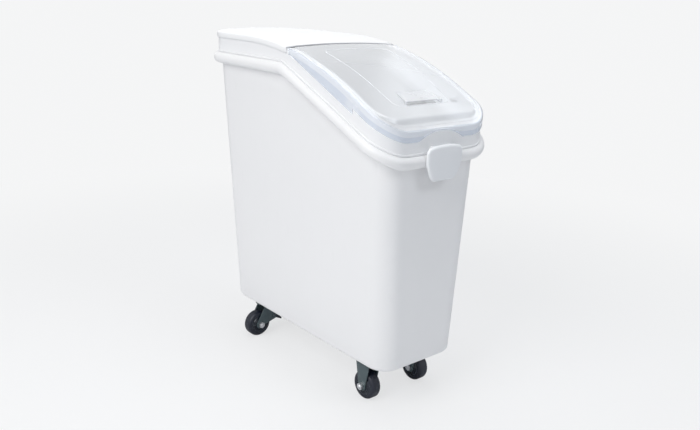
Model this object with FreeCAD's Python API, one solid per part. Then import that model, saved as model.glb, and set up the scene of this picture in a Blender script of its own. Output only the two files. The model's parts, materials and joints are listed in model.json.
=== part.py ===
import FreeCAD, Part
import math
import os
from FreeCAD import Vector

# Ingredient bin on four casters, in millimetres.
# The origin is on the floor below the middle, +Z is up and the front faces -Y.
os.makedirs("parts", exist_ok=True)

# Plan of the mouth, at the outside of the wall
mouth_half_width = 134.0
mouth_half_length = 283.0
mouth_corner_radius = 42.0

# Tub, which tapers in from the mouth to the base
tub_depth = 561.0
side_taper = 30.0
front_taper = 6.0
rear_taper = 28.0
base_edge_radius = 10.0
wall = 4.0
floor_thickness = 10.0

# Bead rolled round the mouth; the tub's depth and the drop run to the bead's middle
mouth_drop = 140.0
bead_kink_y = 15.0
bead_bend_radius = 40.0
bead_corner_drop = 29.0
bead_thickness = 24.0
bead_overhang = 16.5
bead_root = 14.0
corner_run_out = 10.0

# Rim of the covers; it rises from the bead's middle to the covers' top edge
rim_rear_rise = 55.0
rim_front_rise = 59.0
rim_kink_y = -40.0
rim_bend_radius = 750.0
rim_corner_drop = 35.5
crown_rise = 5.0
crown_front = 1.0
cover_skin = 3.0
lip_depth = 12.0
lip_thickness = 2.6
cover_clearance = 0.4

# Collar between the bead and the covers
collar_outset = 6.0
collar_wall = 3.0
collar_foot_outset = 8.0
collar_foot_height = 4.0
spigot_inset = 14.5
spigot_wall = 2.5
spigot_depth = 12.0
ledge_inset = 8.0
ledge_thickness = 2.5

# Clear lid
rear_cover_front_y = 0.0
seam_gap = 9.0
hinge_drop = 3.5
hinge_pip_radius = 2.5
hinge_clearance = 0.08
hinge_relief = 7.0
hinge_seat = 1.0
panel_inset = 8.0
flange_inset = 12.0
flange_front_lift = 12.0
skirt_depth = 22.0
skirt_setback = 0.8
wing_setback = 5.0
wing_step_setback = 80.0
wing_depth = 32.0
arch_half_width = 57.0
arch_rise = 17.0
louver_setback = 40.0
louver_length = 36.0
louver_front_width = 96.0
louver_rear_width = 80.0
louver_rise = 7.0
louver_rear_rise = 1.0
louver_root = 6.0
louver_run_out = 5.0
louver_skin = 2.0

# Front latch
latch_half_width = 46.0
latch_foot_half_width = 32.0
latch_height = 67.0
latch_bow = 6.0
latch_side = 27.0
latch_plate = 7.0
latch_gap = 1.0
latch_shoulder_radius = 8.0
latch_foot_radius = 16.0
latch_pin_radius = 2.0
latch_pin_rise = 22.0
latch_pin_cover = 7.0
latch_pin_reach = 5.5
latch_ear_half_span = 24.0
latch_ear_width = 6.0
latch_ear_radius = 5.0
latch_play = 0.3
latch_hook_half_width = 22.0
latch_hook_reach = 11.0
latch_hook_thickness = 4.0

# Casters
plate_width = 52.0
plate_length = 70.0
plate_thickness = 2.5
front_caster_margin = 10.0
front_caster_setback = 80.0
rear_caster_margin = 16.5
rear_caster_setback = 72.0
wheel_radius = 30.0
wheel_room = 12.4
wheel_width = 24.0
tyre_thickness = 8.0
tyre_round = 6.0
core_width = 26.0
core_ring_radii = (10.5, 14.0, 17.5)
core_ring_width = 1.6
core_ring_depth = 1.4
core_boss_wall = 2.4
fork_gap = 27.2
fork_skin = 2.5
fork_boss_radius = 10.5
bracket_top_half_length = 18.0
axle_radius = 4.0
axle_play = 0.06
sleeve_radius = 5.5
nut_across = 13.0
nut_thickness = 6.5
head_thickness = 5.0
axle_stub = 2.0
trail = 24.0
race_radius = 19.0
race_round = 3.0
race_height = 7.5
king_pin_radius = 5.0
king_head_radius = 8.0
king_head_thickness = 4.0
swivel_play = 0.3
crown_thickness = 3.0
crown_radius = 24.0
fork_top_reach = 8.0
pedal_pin_radius = 2.0
pedal_pin_setback = 13.0
pedal_pin_rise = 14.0
pedal_reach = 25.5
pedal_drop = 16.0
pedal_knee_reach = 11.0
pedal_knee_rise = 2.7
pedal_thickness = 4.0
pedal_side_play = 0.8
pedal_shoe_drop = 11.0
pedal_shoe_width = 6.0
pedal_shoe_lead = 1.0
pedal_eye_radius = 4.5
screw_radius = 3.0
screw_play = 0.05
screw_head_radius = 5.2
screw_head_height = 3.2
screw_depth = 8.0
screw_margin = 7.5
screw_end_room = 1.0

# Room for cutting tools past the faces they cut
past = 40.0
deep = 200.0
cut_margin = 1.0
cut_corner_radius = 5.0

# Steps of the curves and the smallest length told apart
turn_steps = 14
cover_steps = 8
bend_steps = 4
tolerance = 0.01
flat_tolerance = 1e-6

# Sizes that follow from the ones above
caster_top = (2.0 * wheel_radius + wheel_room + king_head_thickness + 2.0 * swivel_play + crown_thickness
              + race_height + plate_thickness)
axle_z = wheel_radius
base_height = caster_top
base_half_width = mouth_half_width - side_taper
base_half_length = mouth_half_length - (front_taper + rear_taper) / 2.0
base_centre_y = (front_taper - rear_taper) / 2.0
bead_rear_height = base_height + tub_depth
bead_front_height = bead_rear_height - mouth_drop
tub_top = bead_rear_height + bead_thickness
front_flat_half_width = mouth_half_width - mouth_corner_radius - corner_run_out
rim_rear_height = bead_rear_height + rim_rear_rise
rim_front_height = bead_front_height + rim_front_rise
lip_inner = collar_outset + cover_clearance
lip_outset = lip_inner + lip_thickness
hinge_y = rear_cover_front_y - seam_gap
wing_start_y = hinge_y - wing_setback
wing_step_y = wing_step_setback - mouth_half_length
louver_front_y = louver_setback - mouth_half_length
latch_pin_height = bead_front_height + latch_pin_rise
latch_top_height = latch_pin_height + latch_pin_cover
latch_waist_height = latch_top_height - latch_bow - latch_side
latch_bottom_height = latch_top_height - latch_height
front_caster_x = base_half_width - plate_width / 2.0 - front_caster_margin
front_caster_y = base_centre_y - base_half_length + front_caster_setback
rear_caster_x = base_half_width - plate_width / 2.0 - rear_caster_margin
rear_caster_y = base_centre_y + base_half_length - rear_caster_setback
pedal_pin_height = axle_z + pedal_pin_rise


class RimLine:
    """A line round the mouth: level at the rear, sloping on the sides, level at the front."""

    def __init__(self, rear, front, kink_y, bend_radius, corner_drop):
        self.rear = rear
        self.front = front
        self.kink_y = kink_y
        self.bend_radius = bend_radius
        self.corner_drop = corner_drop
        run = kink_y - mouth_corner_radius + mouth_half_length
        self.slope = (rear - front - corner_drop) / run
        angle = math.atan(self.slope)
        self.bend_y = kink_y + bend_radius * math.tan(angle / 2.0)
        self.bend_end_y = self.bend_y - bend_radius * math.sin(angle)
        self.bend_end_z = rear - bend_radius * (1.0 - math.cos(angle))

    def raised(self, rise):
        return RimLine(self.rear + rise, self.front + rise, self.kink_y, self.bend_radius, self.corner_drop)

    def side(self, y):
        """Height on the side, with the slope carried straight on to the front."""
        if y >= self.bend_y:
            return self.rear
        if y >= self.bend_end_y:
            run = self.bend_y - y
            return self.rear - self.bend_radius + math.sqrt(self.bend_radius**2 - run**2)
        return self.bend_end_z - self.slope * (self.bend_end_y - y)

    def turn(self, share, length):
        """Height along the front corner, easing from the side's slope to the level front."""
        start = self.side(mouth_corner_radius - mouth_half_length)
        rise = self.front - start
        first = -self.slope * length
        return start + first * share + (3 * rise - 2 * first) * share**2 + (first - 2 * rise) * share**3


def half_path(offset, line):
    """Edges of the left half of a line round the mouth, from the rear's middle to the front's."""
    radius = mouth_corner_radius + offset
    side_x = -mouth_half_width - offset
    rear_y = mouth_half_length + offset
    corner_x = mouth_corner_radius - mouth_half_width
    corner_y = mouth_half_length - mouth_corner_radius
    diagonal = radius * math.sqrt(0.5)
    rear_end = Vector(corner_x, rear_y, line.rear)
    side_start = Vector(side_x, corner_y, line.rear)
    rear_mid = Vector(corner_x - diagonal, corner_y + diagonal, line.rear)
    bend_start = Vector(side_x, line.bend_y, line.rear)
    bend_mid_y = (line.bend_y + line.bend_end_y) / 2.0
    bend_mid = Vector(side_x, bend_mid_y, line.side(bend_mid_y))
    bend_end = Vector(side_x, line.bend_end_y, line.bend_end_z)
    slope_end = Vector(side_x, -corner_y, line.side(-corner_y))
    front_start = Vector(-front_flat_half_width, -rear_y, line.front)
    edges = [
        Part.LineSegment(Vector(0, rear_y, line.rear), rear_end).toShape(),
        Part.Arc(rear_end, rear_mid, side_start).toShape(),
        Part.LineSegment(side_start, bend_start).toShape(),
        Part.Arc(bend_start, bend_mid, bend_end).toShape(),
        Part.LineSegment(bend_end, slope_end).toShape(),
        turn_edge(radius, rear_y, line),
        Part.LineSegment(front_start, Vector(0, -rear_y, line.front)).toShape(),
    ]
    return edges


def turn_edge(radius, front_y, line):
    """The front corner of a rim line and its run-out on to the front, as one smooth curve."""
    corner_x = mouth_corner_radius - mouth_half_width
    corner_y = mouth_corner_radius - mouth_half_length
    arc_length = mouth_corner_radius * math.pi / 2.0
    run_out = -front_flat_half_width - corner_x
    length = arc_length + run_out
    points = []
    for i in range(turn_steps + 1):
        share = i / turn_steps
        along = share * length
        height = line.turn(share, length)
        if along <= arc_length:
            angle = math.pi + along / mouth_corner_radius
            spot = Vector(corner_x + radius * math.cos(angle), corner_y + radius * math.sin(angle), height)
        else:
            spot = Vector(corner_x + along - arc_length, -front_y, height)
        points.append(spot)
    first = Vector(0, -radius / mouth_corner_radius, -line.slope) * length
    last = Vector(length, 0, 0)
    curve = Part.BSplineCurve()
    shares = [i / turn_steps for i in range(turn_steps + 1)]
    curve.interpolate(Points=points, Parameters=shares, InitialTangent=first, FinalTangent=last, Scale=False)
    return curve.toShape()


def strip(first, second):
    """A face between two edges: flat where it can be, else ruled."""
    a, b = first.Vertexes[0].Point, first.Vertexes[-1].Point
    c, d = second.Vertexes[0].Point, second.Vertexes[-1].Point
    sides = [Part.LineSegment(b, d).toShape(), Part.LineSegment(c, a).toShape()]
    outline = Part.Wire(Part.__sortEdges__([first, sides[0], second, sides[1]]))
    if outline.findPlane(flat_tolerance):
        return Part.Face(outline)
    return Part.makeRuledSurface(first, second)


def ring(section):
    """A closed ring round the mouth; the section is a list of (offset, rim line) corners."""
    paths = [half_path(offset, line) for offset, line in section]
    faces = []
    for i, path in enumerate(paths):
        following = paths[(i + 1) % len(paths)]
        faces += [strip(a, b) for a, b in zip(path, following)]
    mirrored = [face.mirror(Vector(0, 0, 0), Vector(1, 0, 0)) for face in faces]
    shell = Part.makeShell(faces + mirrored)
    shell.sewShape()
    solid = Part.makeSolid(shell)
    if solid.Volume < 0:
        solid.reverse()
    return solid


def band(inner, outer, low, high):
    """A ring with upright walls between two offsets and two rim lines."""
    return ring([(inner, low), (outer, low), (outer, high), (inner, high)])


def rounded_outline(half_width, half_length, radius, centre_y, height):
    """A flat wire: a rectangle with round corners."""
    x, y = half_width - radius, half_length - radius
    lean = radius * math.sqrt(0.5)
    edges = []
    for sx, sy in ((1, -1), (1, 1), (-1, 1), (-1, -1)):
        centre = Vector(sx * x, centre_y + sy * y, height)
        if sx * sy < 0:
            start, end = Vector(0, sy * radius, 0), Vector(sx * radius, 0, 0)
        else:
            start, end = Vector(sx * radius, 0, 0), Vector(0, sy * radius, 0)
        middle = centre + Vector(sx * lean, sy * lean, 0)
        edges.append(Part.Arc(centre + start, middle, centre + end).toShape())
    joined = []
    for i, edge in enumerate(edges):
        joined.append(edge)
        end = edge.Vertexes[-1].Point
        joined.append(Part.LineSegment(end, edges[(i + 1) % 4].Vertexes[0].Point).toShape())
    return Part.Wire(joined)


def mouth_prism(offset, low, high):
    """The mouth's plan, grown by an offset, between two heights."""
    outline = rounded_outline(
        mouth_half_width + offset, mouth_half_length + offset, mouth_corner_radius + offset, 0.0, low
    )
    return Part.Face(outline).extrude(Vector(0, 0, high - low))


def polygon_across(points, x_low, x_high):
    """A prism along X from (y, z) corners."""
    corners = [Vector(x_low, y, z) for y, z in points]
    return Part.Face(Part.makePolygon(corners + corners[:1])).extrude(Vector(x_high - x_low, 0, 0))


def block(x_low, x_high, y_low, y_high, z_low, z_high):
    return Part.makeBox(x_high - x_low, y_high - y_low, z_high - z_low, Vector(x_low, y_low, z_low))


def rod(radius, x_low, x_high, y, z):
    """A cylinder along X."""
    return Part.makeCylinder(radius, x_high - x_low, Vector(x_low, y, z), Vector(1, 0, 0))


def hexagon(across, x_low, x_high, y, z):
    """A hexagonal prism along X."""
    reach = across / math.sqrt(3.0)
    angles = [math.radians(60 * i) for i in range(6)]
    corners = [(y + reach * math.cos(a), z + reach * math.sin(a)) for a in angles]
    return polygon_across(corners, x_low, x_high)


bead_line = RimLine(bead_rear_height, bead_front_height, bead_kink_y, bead_bend_radius, bead_corner_drop)
bead_top = bead_line.raised(bead_thickness / 2.0)
rim_line = RimLine(rim_rear_height, rim_front_height, rim_kink_y, rim_bend_radius, rim_corner_drop)
flange_line = RimLine(
    rim_rear_height, rim_front_height + flange_front_lift, rim_kink_y, rim_bend_radius,
    rim_corner_drop - flange_front_lift,
)
hinge_z = rim_line.side(hinge_y) - hinge_drop


def screw_spots():
    """Centres of every caster screw."""
    spots = []
    centres = [(front_caster_x, front_caster_y), (rear_caster_x, rear_caster_y)]
    for x, y in centres:
        for side in (-1, 1):
            for sx in (-1, 1):
                for sy in (-1, 1):
                    dx = sx * (plate_width / 2.0 - screw_margin)
                    dy = sy * (plate_length / 2.0 - screw_margin)
                    spots.append((side * x + dx, y + dy))
    return spots


def tub(inset, low):
    """The tub's outer or inner form, tapering from the mouth to the base."""
    share = (low - base_height) / (tub_top - base_height)
    half_width = base_half_width + share * (mouth_half_width - base_half_width)
    half_length = base_half_length + share * (mouth_half_length - base_half_length)
    centre_y = base_centre_y * (1.0 - share)
    radius = mouth_corner_radius - inset
    outlines = [
        rounded_outline(half_width - inset, half_length - inset, radius, centre_y, low),
        rounded_outline(mouth_half_width - inset, mouth_half_length - inset, radius, 0.0, tub_top),
    ]
    return Part.makeLoft(outlines, True, True)


def bead():
    """The roll round the mouth, a half-round section carried along the bead line."""
    half = bead_thickness / 2.0
    straight = bead_overhang - half
    y = mouth_half_length
    z = bead_rear_height
    root_low, root_high = Vector(0, y - bead_root, z - half), Vector(0, y - bead_root, z + half)
    low, high = Vector(0, y + straight, z - half), Vector(0, y + straight, z + half)
    nose = Vector(0, y + bead_overhang, z)
    section = Part.Wire([
        Part.LineSegment(root_low, low).toShape(),
        Part.Arc(low, nose, high).toShape(),
        Part.LineSegment(high, root_high).toShape(),
        Part.LineSegment(root_high, root_low).toShape(),
    ])
    sweep = Part.BRepOffsetAPI.MakePipeShell(Part.Wire(half_path(0.0, bead_line)))
    sweep.setBiNormalMode(Vector(0, 0, 1))
    sweep.add(section, False, False)
    sweep.build()
    sweep.makeSolid()
    left = sweep.shape()
    return left.fuse(left.mirror(Vector(0, 0, 0), Vector(1, 0, 0)))


def bin_body():
    outer = tub(0.0, base_height)
    foot = [edge for edge in outer.Edges if edge.BoundBox.ZMax < base_height + tolerance]
    outer = outer.makeFillet(base_edge_radius, foot)
    above = band(cut_corner_radius - mouth_corner_radius, past, bead_line, bead_line.raised(deep))
    body = outer.cut(above).fuse(bead()).cut(tub(wall, base_height + floor_thickness))
    holes = []
    for x, y in screw_spots():
        holes.append(Part.makeCylinder(screw_radius + screw_play, screw_depth, Vector(x, y, base_height)))
    return body.cut(Part.makeCompound(holes)).removeSplitter()


def lid_collar():
    """Wall, foot, spigot and ledge, with a snap slot for each lid pivot and the latch's ears."""
    foot_top = bead_top.raised(collar_foot_height)
    under_covers = rim_line.raised(-cover_skin - cover_clearance)
    upright = band(collar_outset - collar_wall, collar_outset, bead_top, under_covers)
    foot = band(-spigot_inset - spigot_wall, collar_foot_outset, bead_top, foot_top)
    spigot = band(-spigot_inset - spigot_wall, -spigot_inset, bead_top.raised(-spigot_depth), foot_top)
    ledge = band(-ledge_inset, collar_outset, under_covers.raised(-ledge_thickness), under_covers)
    collar = upright.fuse([foot, spigot, ledge])
    reach = mouth_half_width + past
    slot_radius = hinge_pip_radius + hinge_clearance
    collar = collar.cut(rod(slot_radius, -reach, reach, hinge_y, hinge_z))
    relief_y = hinge_y - slot_radius
    relief_end = hinge_y + hinge_relief
    collar = collar.cut(block(-reach, reach, relief_y, relief_end, hinge_z - hinge_seat, hinge_z + past))
    wall_y = -mouth_half_length - collar_outset
    pin_y = latch_pin_y()
    for side in (-1, 1):
        x = side * latch_ear_half_span
        low, high = x - latch_ear_width / 2.0, x + latch_ear_width / 2.0
        root = wall_y + collar_wall / 2.0
        arm = block(low, high, pin_y, root, latch_pin_height - latch_ear_radius,
                    latch_pin_height + latch_ear_radius)
        ear = arm.fuse(rod(latch_ear_radius, low, high, pin_y, latch_pin_height))
        collar = collar.fuse(ear)
    pin_room = latch_pin_radius + axle_play
    return collar.cut(rod(pin_room, -latch_half_width, latch_half_width, pin_y, latch_pin_height))


def crowned_form(y_values, drop, crown_at):
    """A solid under an arched top that follows the rim line between the given stations."""
    half = mouth_half_width + lip_outset
    reach = half + past
    wires = []
    for y in y_values:
        rise = crown_at(y)
        middle = rim_line.side(y) + rise - drop
        edge = middle - rise * (reach / half) ** 2
        floor_z = rim_line.side(y) - past * 2.0
        left, right = Vector(-reach, y, edge), Vector(reach, y, edge)
        wires.append(Part.Wire([
            Part.LineSegment(Vector(reach, y, floor_z), Vector(-reach, y, floor_z)).toShape(),
            Part.LineSegment(Vector(-reach, y, floor_z), left).toShape(),
            Part.Arc(left, Vector(0, y, middle), right).toShape(),
            Part.LineSegment(right, Vector(reach, y, floor_z)).toShape(),
        ]))
    return Part.makeLoft(wires, True, False)


def cover_crown(y):
    """The rear cover's crown, the same at every station."""
    return crown_rise


def rear_cover():
    """Crowned cap with a lip, open at the front where the lid meets it."""
    bend_y = rim_line.bend_y
    bend = bend_y - rear_cover_front_y
    stations = [rear_cover_front_y - past]
    stations += [rear_cover_front_y + bend * i / bend_steps for i in range(bend_steps)]
    level = mouth_half_length + past - bend_y
    stations += [bend_y + level * i / cover_steps for i in range(cover_steps + 1)]
    low, high = bead_rear_height - deep, rim_rear_height + deep
    outer = crowned_form(stations, 0.0, cover_crown).common(mouth_prism(lip_outset, low, high))
    inner = crowned_form(stations, cover_skin, cover_crown).common(mouth_prism(lip_inner, low, high))
    lip_floor = rim_line.raised(-lip_depth)
    below = band(-panel_inset, past, lip_floor.raised(-deep), lip_floor)
    reach = mouth_half_width + past
    front = block(-reach, reach, -mouth_half_length - past, rear_cover_front_y, low, high)
    return outer.cut(inner).cut(below).cut(front).removeSplitter()


def lid_crown(y):
    """The lid's crown fades from the seam to the front."""
    share = min(1.0, max(0.0, (hinge_y - y) / (mouth_half_length - panel_inset + hinge_y)))
    return crown_rise + share * (crown_front - crown_rise)


def louver():
    """Hood over the scoop hook: it rises from the panel towards the front and opens there."""
    rear_y = louver_front_y + louver_length
    front_z, rear_z = rim_line.side(louver_front_y), rim_line.side(rear_y)
    crown_front_z, crown_rear_z = front_z + lid_crown(louver_front_y), rear_z + lid_crown(rear_y)
    forms = []
    for skin, open_front in ((0.0, 0.0), (louver_skin, louver_run_out)):
        wires = []
        rear_top, front_top = crown_rear_z + louver_rear_rise - skin, crown_front_z + louver_rise - skin
        for y, half, floor_z, top_z in (
            (rear_y - skin, louver_rear_width / 2.0 - skin, rear_z - louver_root, rear_top),
            (louver_front_y - open_front, louver_front_width / 2.0 - skin, front_z - louver_root, front_top),
        ):
            corners = [Vector(-half, y, floor_z), Vector(half, y, floor_z), Vector(half, y, top_z),
                       Vector(-half, y, top_z)]
            wires.append(Part.makePolygon(corners + corners[:1]))
        forms.append(Part.makeLoft(wires, True, True))
    return forms


def clear_lid():
    """Lip, flange and raised panel, with side wings, a finger arch, a louver and two pivots."""
    rim_low = rim_line.raised(-cover_skin)
    flange_low = flange_line.raised(-cover_skin)
    lip_floor = rim_line.raised(-lip_depth)
    edge = ring([
        (lip_outset, lip_floor), (lip_outset, rim_line), (-flange_inset, flange_line),
        (-flange_inset, flange_low), (lip_inner, rim_low), (lip_inner, lip_floor),
    ])
    front_y = -mouth_half_length - past
    bend = rim_line.bend_end_y - hinge_y
    stations = [hinge_y + past] + [hinge_y + bend * i / bend_steps for i in range(bend_steps + 1)]
    stations += [(rim_line.bend_end_y - mouth_half_length) / 2.0, -mouth_half_length, front_y]
    low, high = bead_front_height - deep, rim_rear_height + deep
    top = crowned_form(stations, 0.0, lid_crown)
    under = crowned_form(stations, cover_skin, lid_crown)
    panel = top.common(mouth_prism(-panel_inset, low, high))
    panel = panel.cut(under.common(mouth_prism(-panel_inset - cover_skin, low, high)))
    cut_inner, cut_floor = cut_corner_radius - mouth_corner_radius, rim_low.raised(-deep)
    panel = panel.cut(ring([
        (cut_inner, cut_floor), (past, cut_floor), (past, rim_low), (lip_inner, rim_low),
        (-flange_inset, flange_low), (cut_inner, flange_low),
    ]))
    skirt_low = rim_line.raised(-skirt_depth)
    wing_low = rim_line.raised(-wing_depth)
    skirt = band(lip_inner, lip_outset - skirt_setback, wing_low, lip_floor)
    reach = mouth_half_width + past
    shallow = band(lip_inner - cut_margin, past, wing_low.raised(-deep), skirt_low)
    shallow = shallow.common(block(-reach, reach, front_y, wing_step_y, low, high))
    start_z = rim_line.side(wing_start_y) - lip_depth
    step_z = rim_line.side(wing_step_y) - wing_depth
    wing_slope = (start_z - step_z) / (wing_start_y - wing_step_y)
    taper_y = wing_start_y + past
    taper_z = start_z + past * wing_slope
    taper_corners = [(taper_y, taper_z), (wing_step_y, step_z), (wing_step_y, low), (taper_y, low)]
    taper = polygon_across(taper_corners, -reach, reach)
    skirt = skirt.cut(shallow).cut(taper)
    lid = edge.fuse([panel, skirt])
    lid = lid.cut(block(-reach, reach, hinge_y, mouth_half_length + past, low, high))
    hood, hollow = louver()
    slot = hollow.common(block(-reach, reach, louver_front_y, hinge_y, low, high))
    lid = lid.cut(slot).fuse(hood.cut(under).cut(hollow))
    arch_z = rim_front_height - skirt_depth
    arch_radius = (arch_half_width**2 + arch_rise**2) / (2.0 * arch_rise)
    arch_centre = Vector(0, front_y + panel_inset / 2.0, arch_z + arch_rise - arch_radius)
    arch = Part.makeCylinder(arch_radius, past, arch_centre, Vector(0, 1, 0))
    lid = lid.cut(arch)
    for side in (-1, 1):
        inner = side * (mouth_half_width + collar_outset - collar_wall)
        outer = side * (mouth_half_width + lip_outset)
        boss_inner = side * (mouth_half_width + lip_inner)
        lid = lid.fuse(rod(hinge_drop, min(boss_inner, outer), max(boss_inner, outer), hinge_y, hinge_z))
        lid = lid.fuse(rod(hinge_pip_radius, min(inner, outer), max(inner, outer), hinge_y, hinge_z))
    return lid


def latch_pin_y():
    return -mouth_half_length - collar_outset - latch_pin_reach


def latch_face_y():
    """Back of the latch's plate, just proud of the bead."""
    return -mouth_half_length - bead_overhang - latch_gap


def front_latch():
    """Shield plate with a knuckle for its pin and a hook below the bead."""
    back = latch_face_y()
    shoulder = latch_top_height - latch_bow
    waist = latch_waist_height
    outline = [
        (-latch_half_width, shoulder), (latch_half_width, shoulder), (latch_half_width, waist),
        (latch_foot_half_width, latch_bottom_height), (-latch_foot_half_width, latch_bottom_height),
        (-latch_half_width, waist),
    ]
    corners = [Vector(x, back, z) for x, z in outline]
    edges = [Part.Arc(corners[0], Vector(0, back, latch_top_height), corners[1]).toShape()]
    for a, b in zip(corners[1:], corners[2:] + corners[:1]):
        edges.append(Part.LineSegment(a, b).toShape())
    plate = Part.Face(Part.Wire(edges)).extrude(Vector(0, -latch_plate, 0))
    for radius, low, high in (
        (latch_shoulder_radius, waist - latch_play, latch_top_height),
        (latch_foot_radius, latch_bottom_height - latch_play, waist - latch_play),
    ):
        corner_edges = [edge for edge in plate.Edges if is_along_y(edge) and low < edge.BoundBox.ZMin < high]
        plate = plate.makeFillet(radius, corner_edges)
    pin_y = latch_pin_y()
    half = latch_ear_half_span - latch_ear_width / 2.0 - latch_play
    arm_low, arm_high = latch_pin_height - latch_ear_radius, latch_pin_height + latch_ear_radius
    arm = block(-half, half, back, pin_y, arm_low, arm_high)
    latch = plate.fuse([arm, rod(latch_ear_radius, -half, half, pin_y, latch_pin_height)])
    hook_top = bead_front_height - bead_thickness / 2.0 - latch_play
    hook = block(-latch_hook_half_width, latch_hook_half_width, back, back + latch_hook_reach,
                 hook_top - latch_hook_thickness, hook_top)
    bore = rod(latch_pin_radius + axle_play, -latch_half_width, latch_half_width, pin_y, latch_pin_height)
    return latch.fuse(hook).cut(bore).removeSplitter()


def is_along_y(edge):
    """True for a straight edge that runs front to back."""
    box = edge.BoundBox
    return box.YLength > latch_plate / 2.0 and box.XLength + box.ZLength < tolerance


def latch_pin():
    end = latch_ear_half_span + latch_ear_width / 2.0
    return rod(latch_pin_radius, -end, end, latch_pin_y(), latch_pin_height)


def caster_screws():
    """Pan-head screws from below, through the plates into the tub's floor."""
    screws = []
    head_top = caster_top - plate_thickness
    head_low = head_top - screw_head_height
    length = plate_thickness + screw_depth - screw_end_room
    for x, y in screw_spots():
        shank = Part.makeCylinder(screw_radius, length, Vector(x, y, head_top))
        head = Part.makeCylinder(screw_head_radius, screw_head_height, Vector(x, y, head_low))
        screws.append(shank.fuse(head).removeSplitter())
    return Part.makeCompound(screws)


def caster_plate(x, y):
    """Top plate with its four screw holes."""
    low = caster_top - plate_thickness
    half_width, half_length = plate_width / 2.0, plate_length / 2.0
    plate = block(x - half_width, x + half_width, y - half_length, y + half_length, low, caster_top)
    for hx, hy in screw_spots():
        plate = plate.cut(Part.makeCylinder(screw_radius + screw_play, plate_thickness, Vector(hx, hy, low)))
    return plate


def legs(points, boss):
    """Two fork legs, one each side of the wheel, with their bosses on the axle."""
    low = fork_gap / 2.0
    shapes = []
    for side in (-1, 1):
        x0, x1 = sorted((side * low, side * (low + fork_skin)))
        leg = polygon_across(points, x0, x1)
        leg = leg.fuse(rod(fork_boss_radius, x0, x1, boss, axle_z))
        shapes.append(leg)
    return shapes


def axle_hole(y):
    reach = fork_gap
    return rod(axle_radius + axle_play, -reach, reach, y, axle_z)


def rigid_bracket():
    """Fixed fork: plate and two legs, built round the caster's own centre."""
    top = caster_top - plate_thickness
    half = bracket_top_half_length
    points = [(-half, top), (half, top), (fork_boss_radius, axle_z), (-fork_boss_radius, axle_z)]
    left, right = legs(points, 0.0)
    return left.fuse(right).cut(axle_hole(0.0))


def swivel_fork():
    """Swivelling fork: crown under the ball race and two legs that trail to the axle."""
    top = caster_top - plate_thickness - race_height - swivel_play
    low = top - crown_thickness
    crown = Part.makeCylinder(crown_radius, crown_thickness, Vector(0, 0, low))
    half_width = fork_gap / 2.0 + fork_skin
    setback = pedal_pin_setback + pedal_eye_radius + fork_skin
    crown = crown.fuse(block(-half_width, half_width, -setback, fork_top_reach, low, top))
    ear_low = pedal_pin_height - pedal_eye_radius - fork_skin
    points = [
        (-setback, top), (fork_top_reach, top), (trail + fork_boss_radius, axle_z),
        (trail - fork_boss_radius, axle_z), (-setback, ear_low),
    ]
    left, right = legs(points, trail)
    fork = crown.fuse([left, right]).cut(axle_hole(trail))
    fork = fork.cut(Part.makeCylinder(king_pin_radius + axle_play, crown_thickness, Vector(0, 0, low)))
    pin_room = pedal_pin_radius + axle_play
    fork = fork.cut(rod(pin_room, -fork_gap, fork_gap, -pedal_pin_setback, pedal_pin_height))
    return fork.removeSplitter()


def ball_race():
    """Round race below the top plate."""
    low = caster_top - plate_thickness - race_height
    race = Part.makeCylinder(race_radius, race_height, Vector(0, 0, low))
    rim = [edge for edge in race.Edges if edge.BoundBox.ZMax < low + tolerance]
    race = race.makeFillet(race_round, rim)
    return race.cut(Part.makeCylinder(king_pin_radius, race_height, Vector(0, 0, low)))


def king_pin():
    """Rivet that carries the fork: its head is under the fork's crown."""
    crown_low = caster_top - plate_thickness - race_height - swivel_play - crown_thickness
    head_top = crown_low - swivel_play
    length = caster_top - plate_thickness - head_top
    shank = Part.makeCylinder(king_pin_radius, length, Vector(0, 0, head_top))
    head_low = head_top - king_head_thickness
    head = Part.makeCylinder(king_head_radius, king_head_thickness, Vector(0, 0, head_low))
    return shank.fuse(head).removeSplitter()


def axle_bolt(y):
    """Bolt with its head on the +X side."""
    face = fork_gap / 2.0 + fork_skin
    shank = rod(axle_radius, -face - nut_thickness - axle_stub, face, y, axle_z)
    return shank.fuse(hexagon(nut_across, face, face + head_thickness, y, axle_z)).removeSplitter()


def axle_nut(y):
    face = fork_gap / 2.0 + fork_skin
    nut = hexagon(nut_across, -face - nut_thickness, -face, y, axle_z)
    return nut.cut(rod(axle_radius, -face - nut_thickness, -face, y, axle_z))


def axle_sleeve(y):
    half = fork_gap / 2.0
    bore = rod(axle_radius + axle_play, -half, half, y, axle_z)
    return rod(sleeve_radius, -half, half, y, axle_z).cut(bore)


def wheel_core(y):
    """Hub with raised concentric rings on both faces."""
    half = core_width / 2.0
    outer = wheel_radius - tyre_thickness
    face = half - core_ring_depth
    core = rod(outer, -face, face, y, axle_z)
    core = core.fuse(rod(sleeve_radius + core_boss_wall, -half, half, y, axle_z))
    for radius in core_ring_radii:
        ridge = rod(radius + core_ring_width / 2.0, -half, half, y, axle_z)
        core = core.fuse(ridge.cut(rod(radius - core_ring_width / 2.0, -half, half, y, axle_z)))
    return core.cut(rod(sleeve_radius + axle_play, -half, half, y, axle_z)).removeSplitter()


def tyre(y):
    """Tread with round shoulders."""
    half = wheel_width / 2.0
    outer = rod(wheel_radius, -half, half, y, axle_z)
    shoulders = [edge for edge in outer.Edges if edge.Length > math.pi * wheel_radius]
    outer = outer.makeFillet(tyre_round, shoulders)
    return outer.cut(rod(wheel_radius - tyre_thickness, -half, half, y, axle_z))


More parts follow.
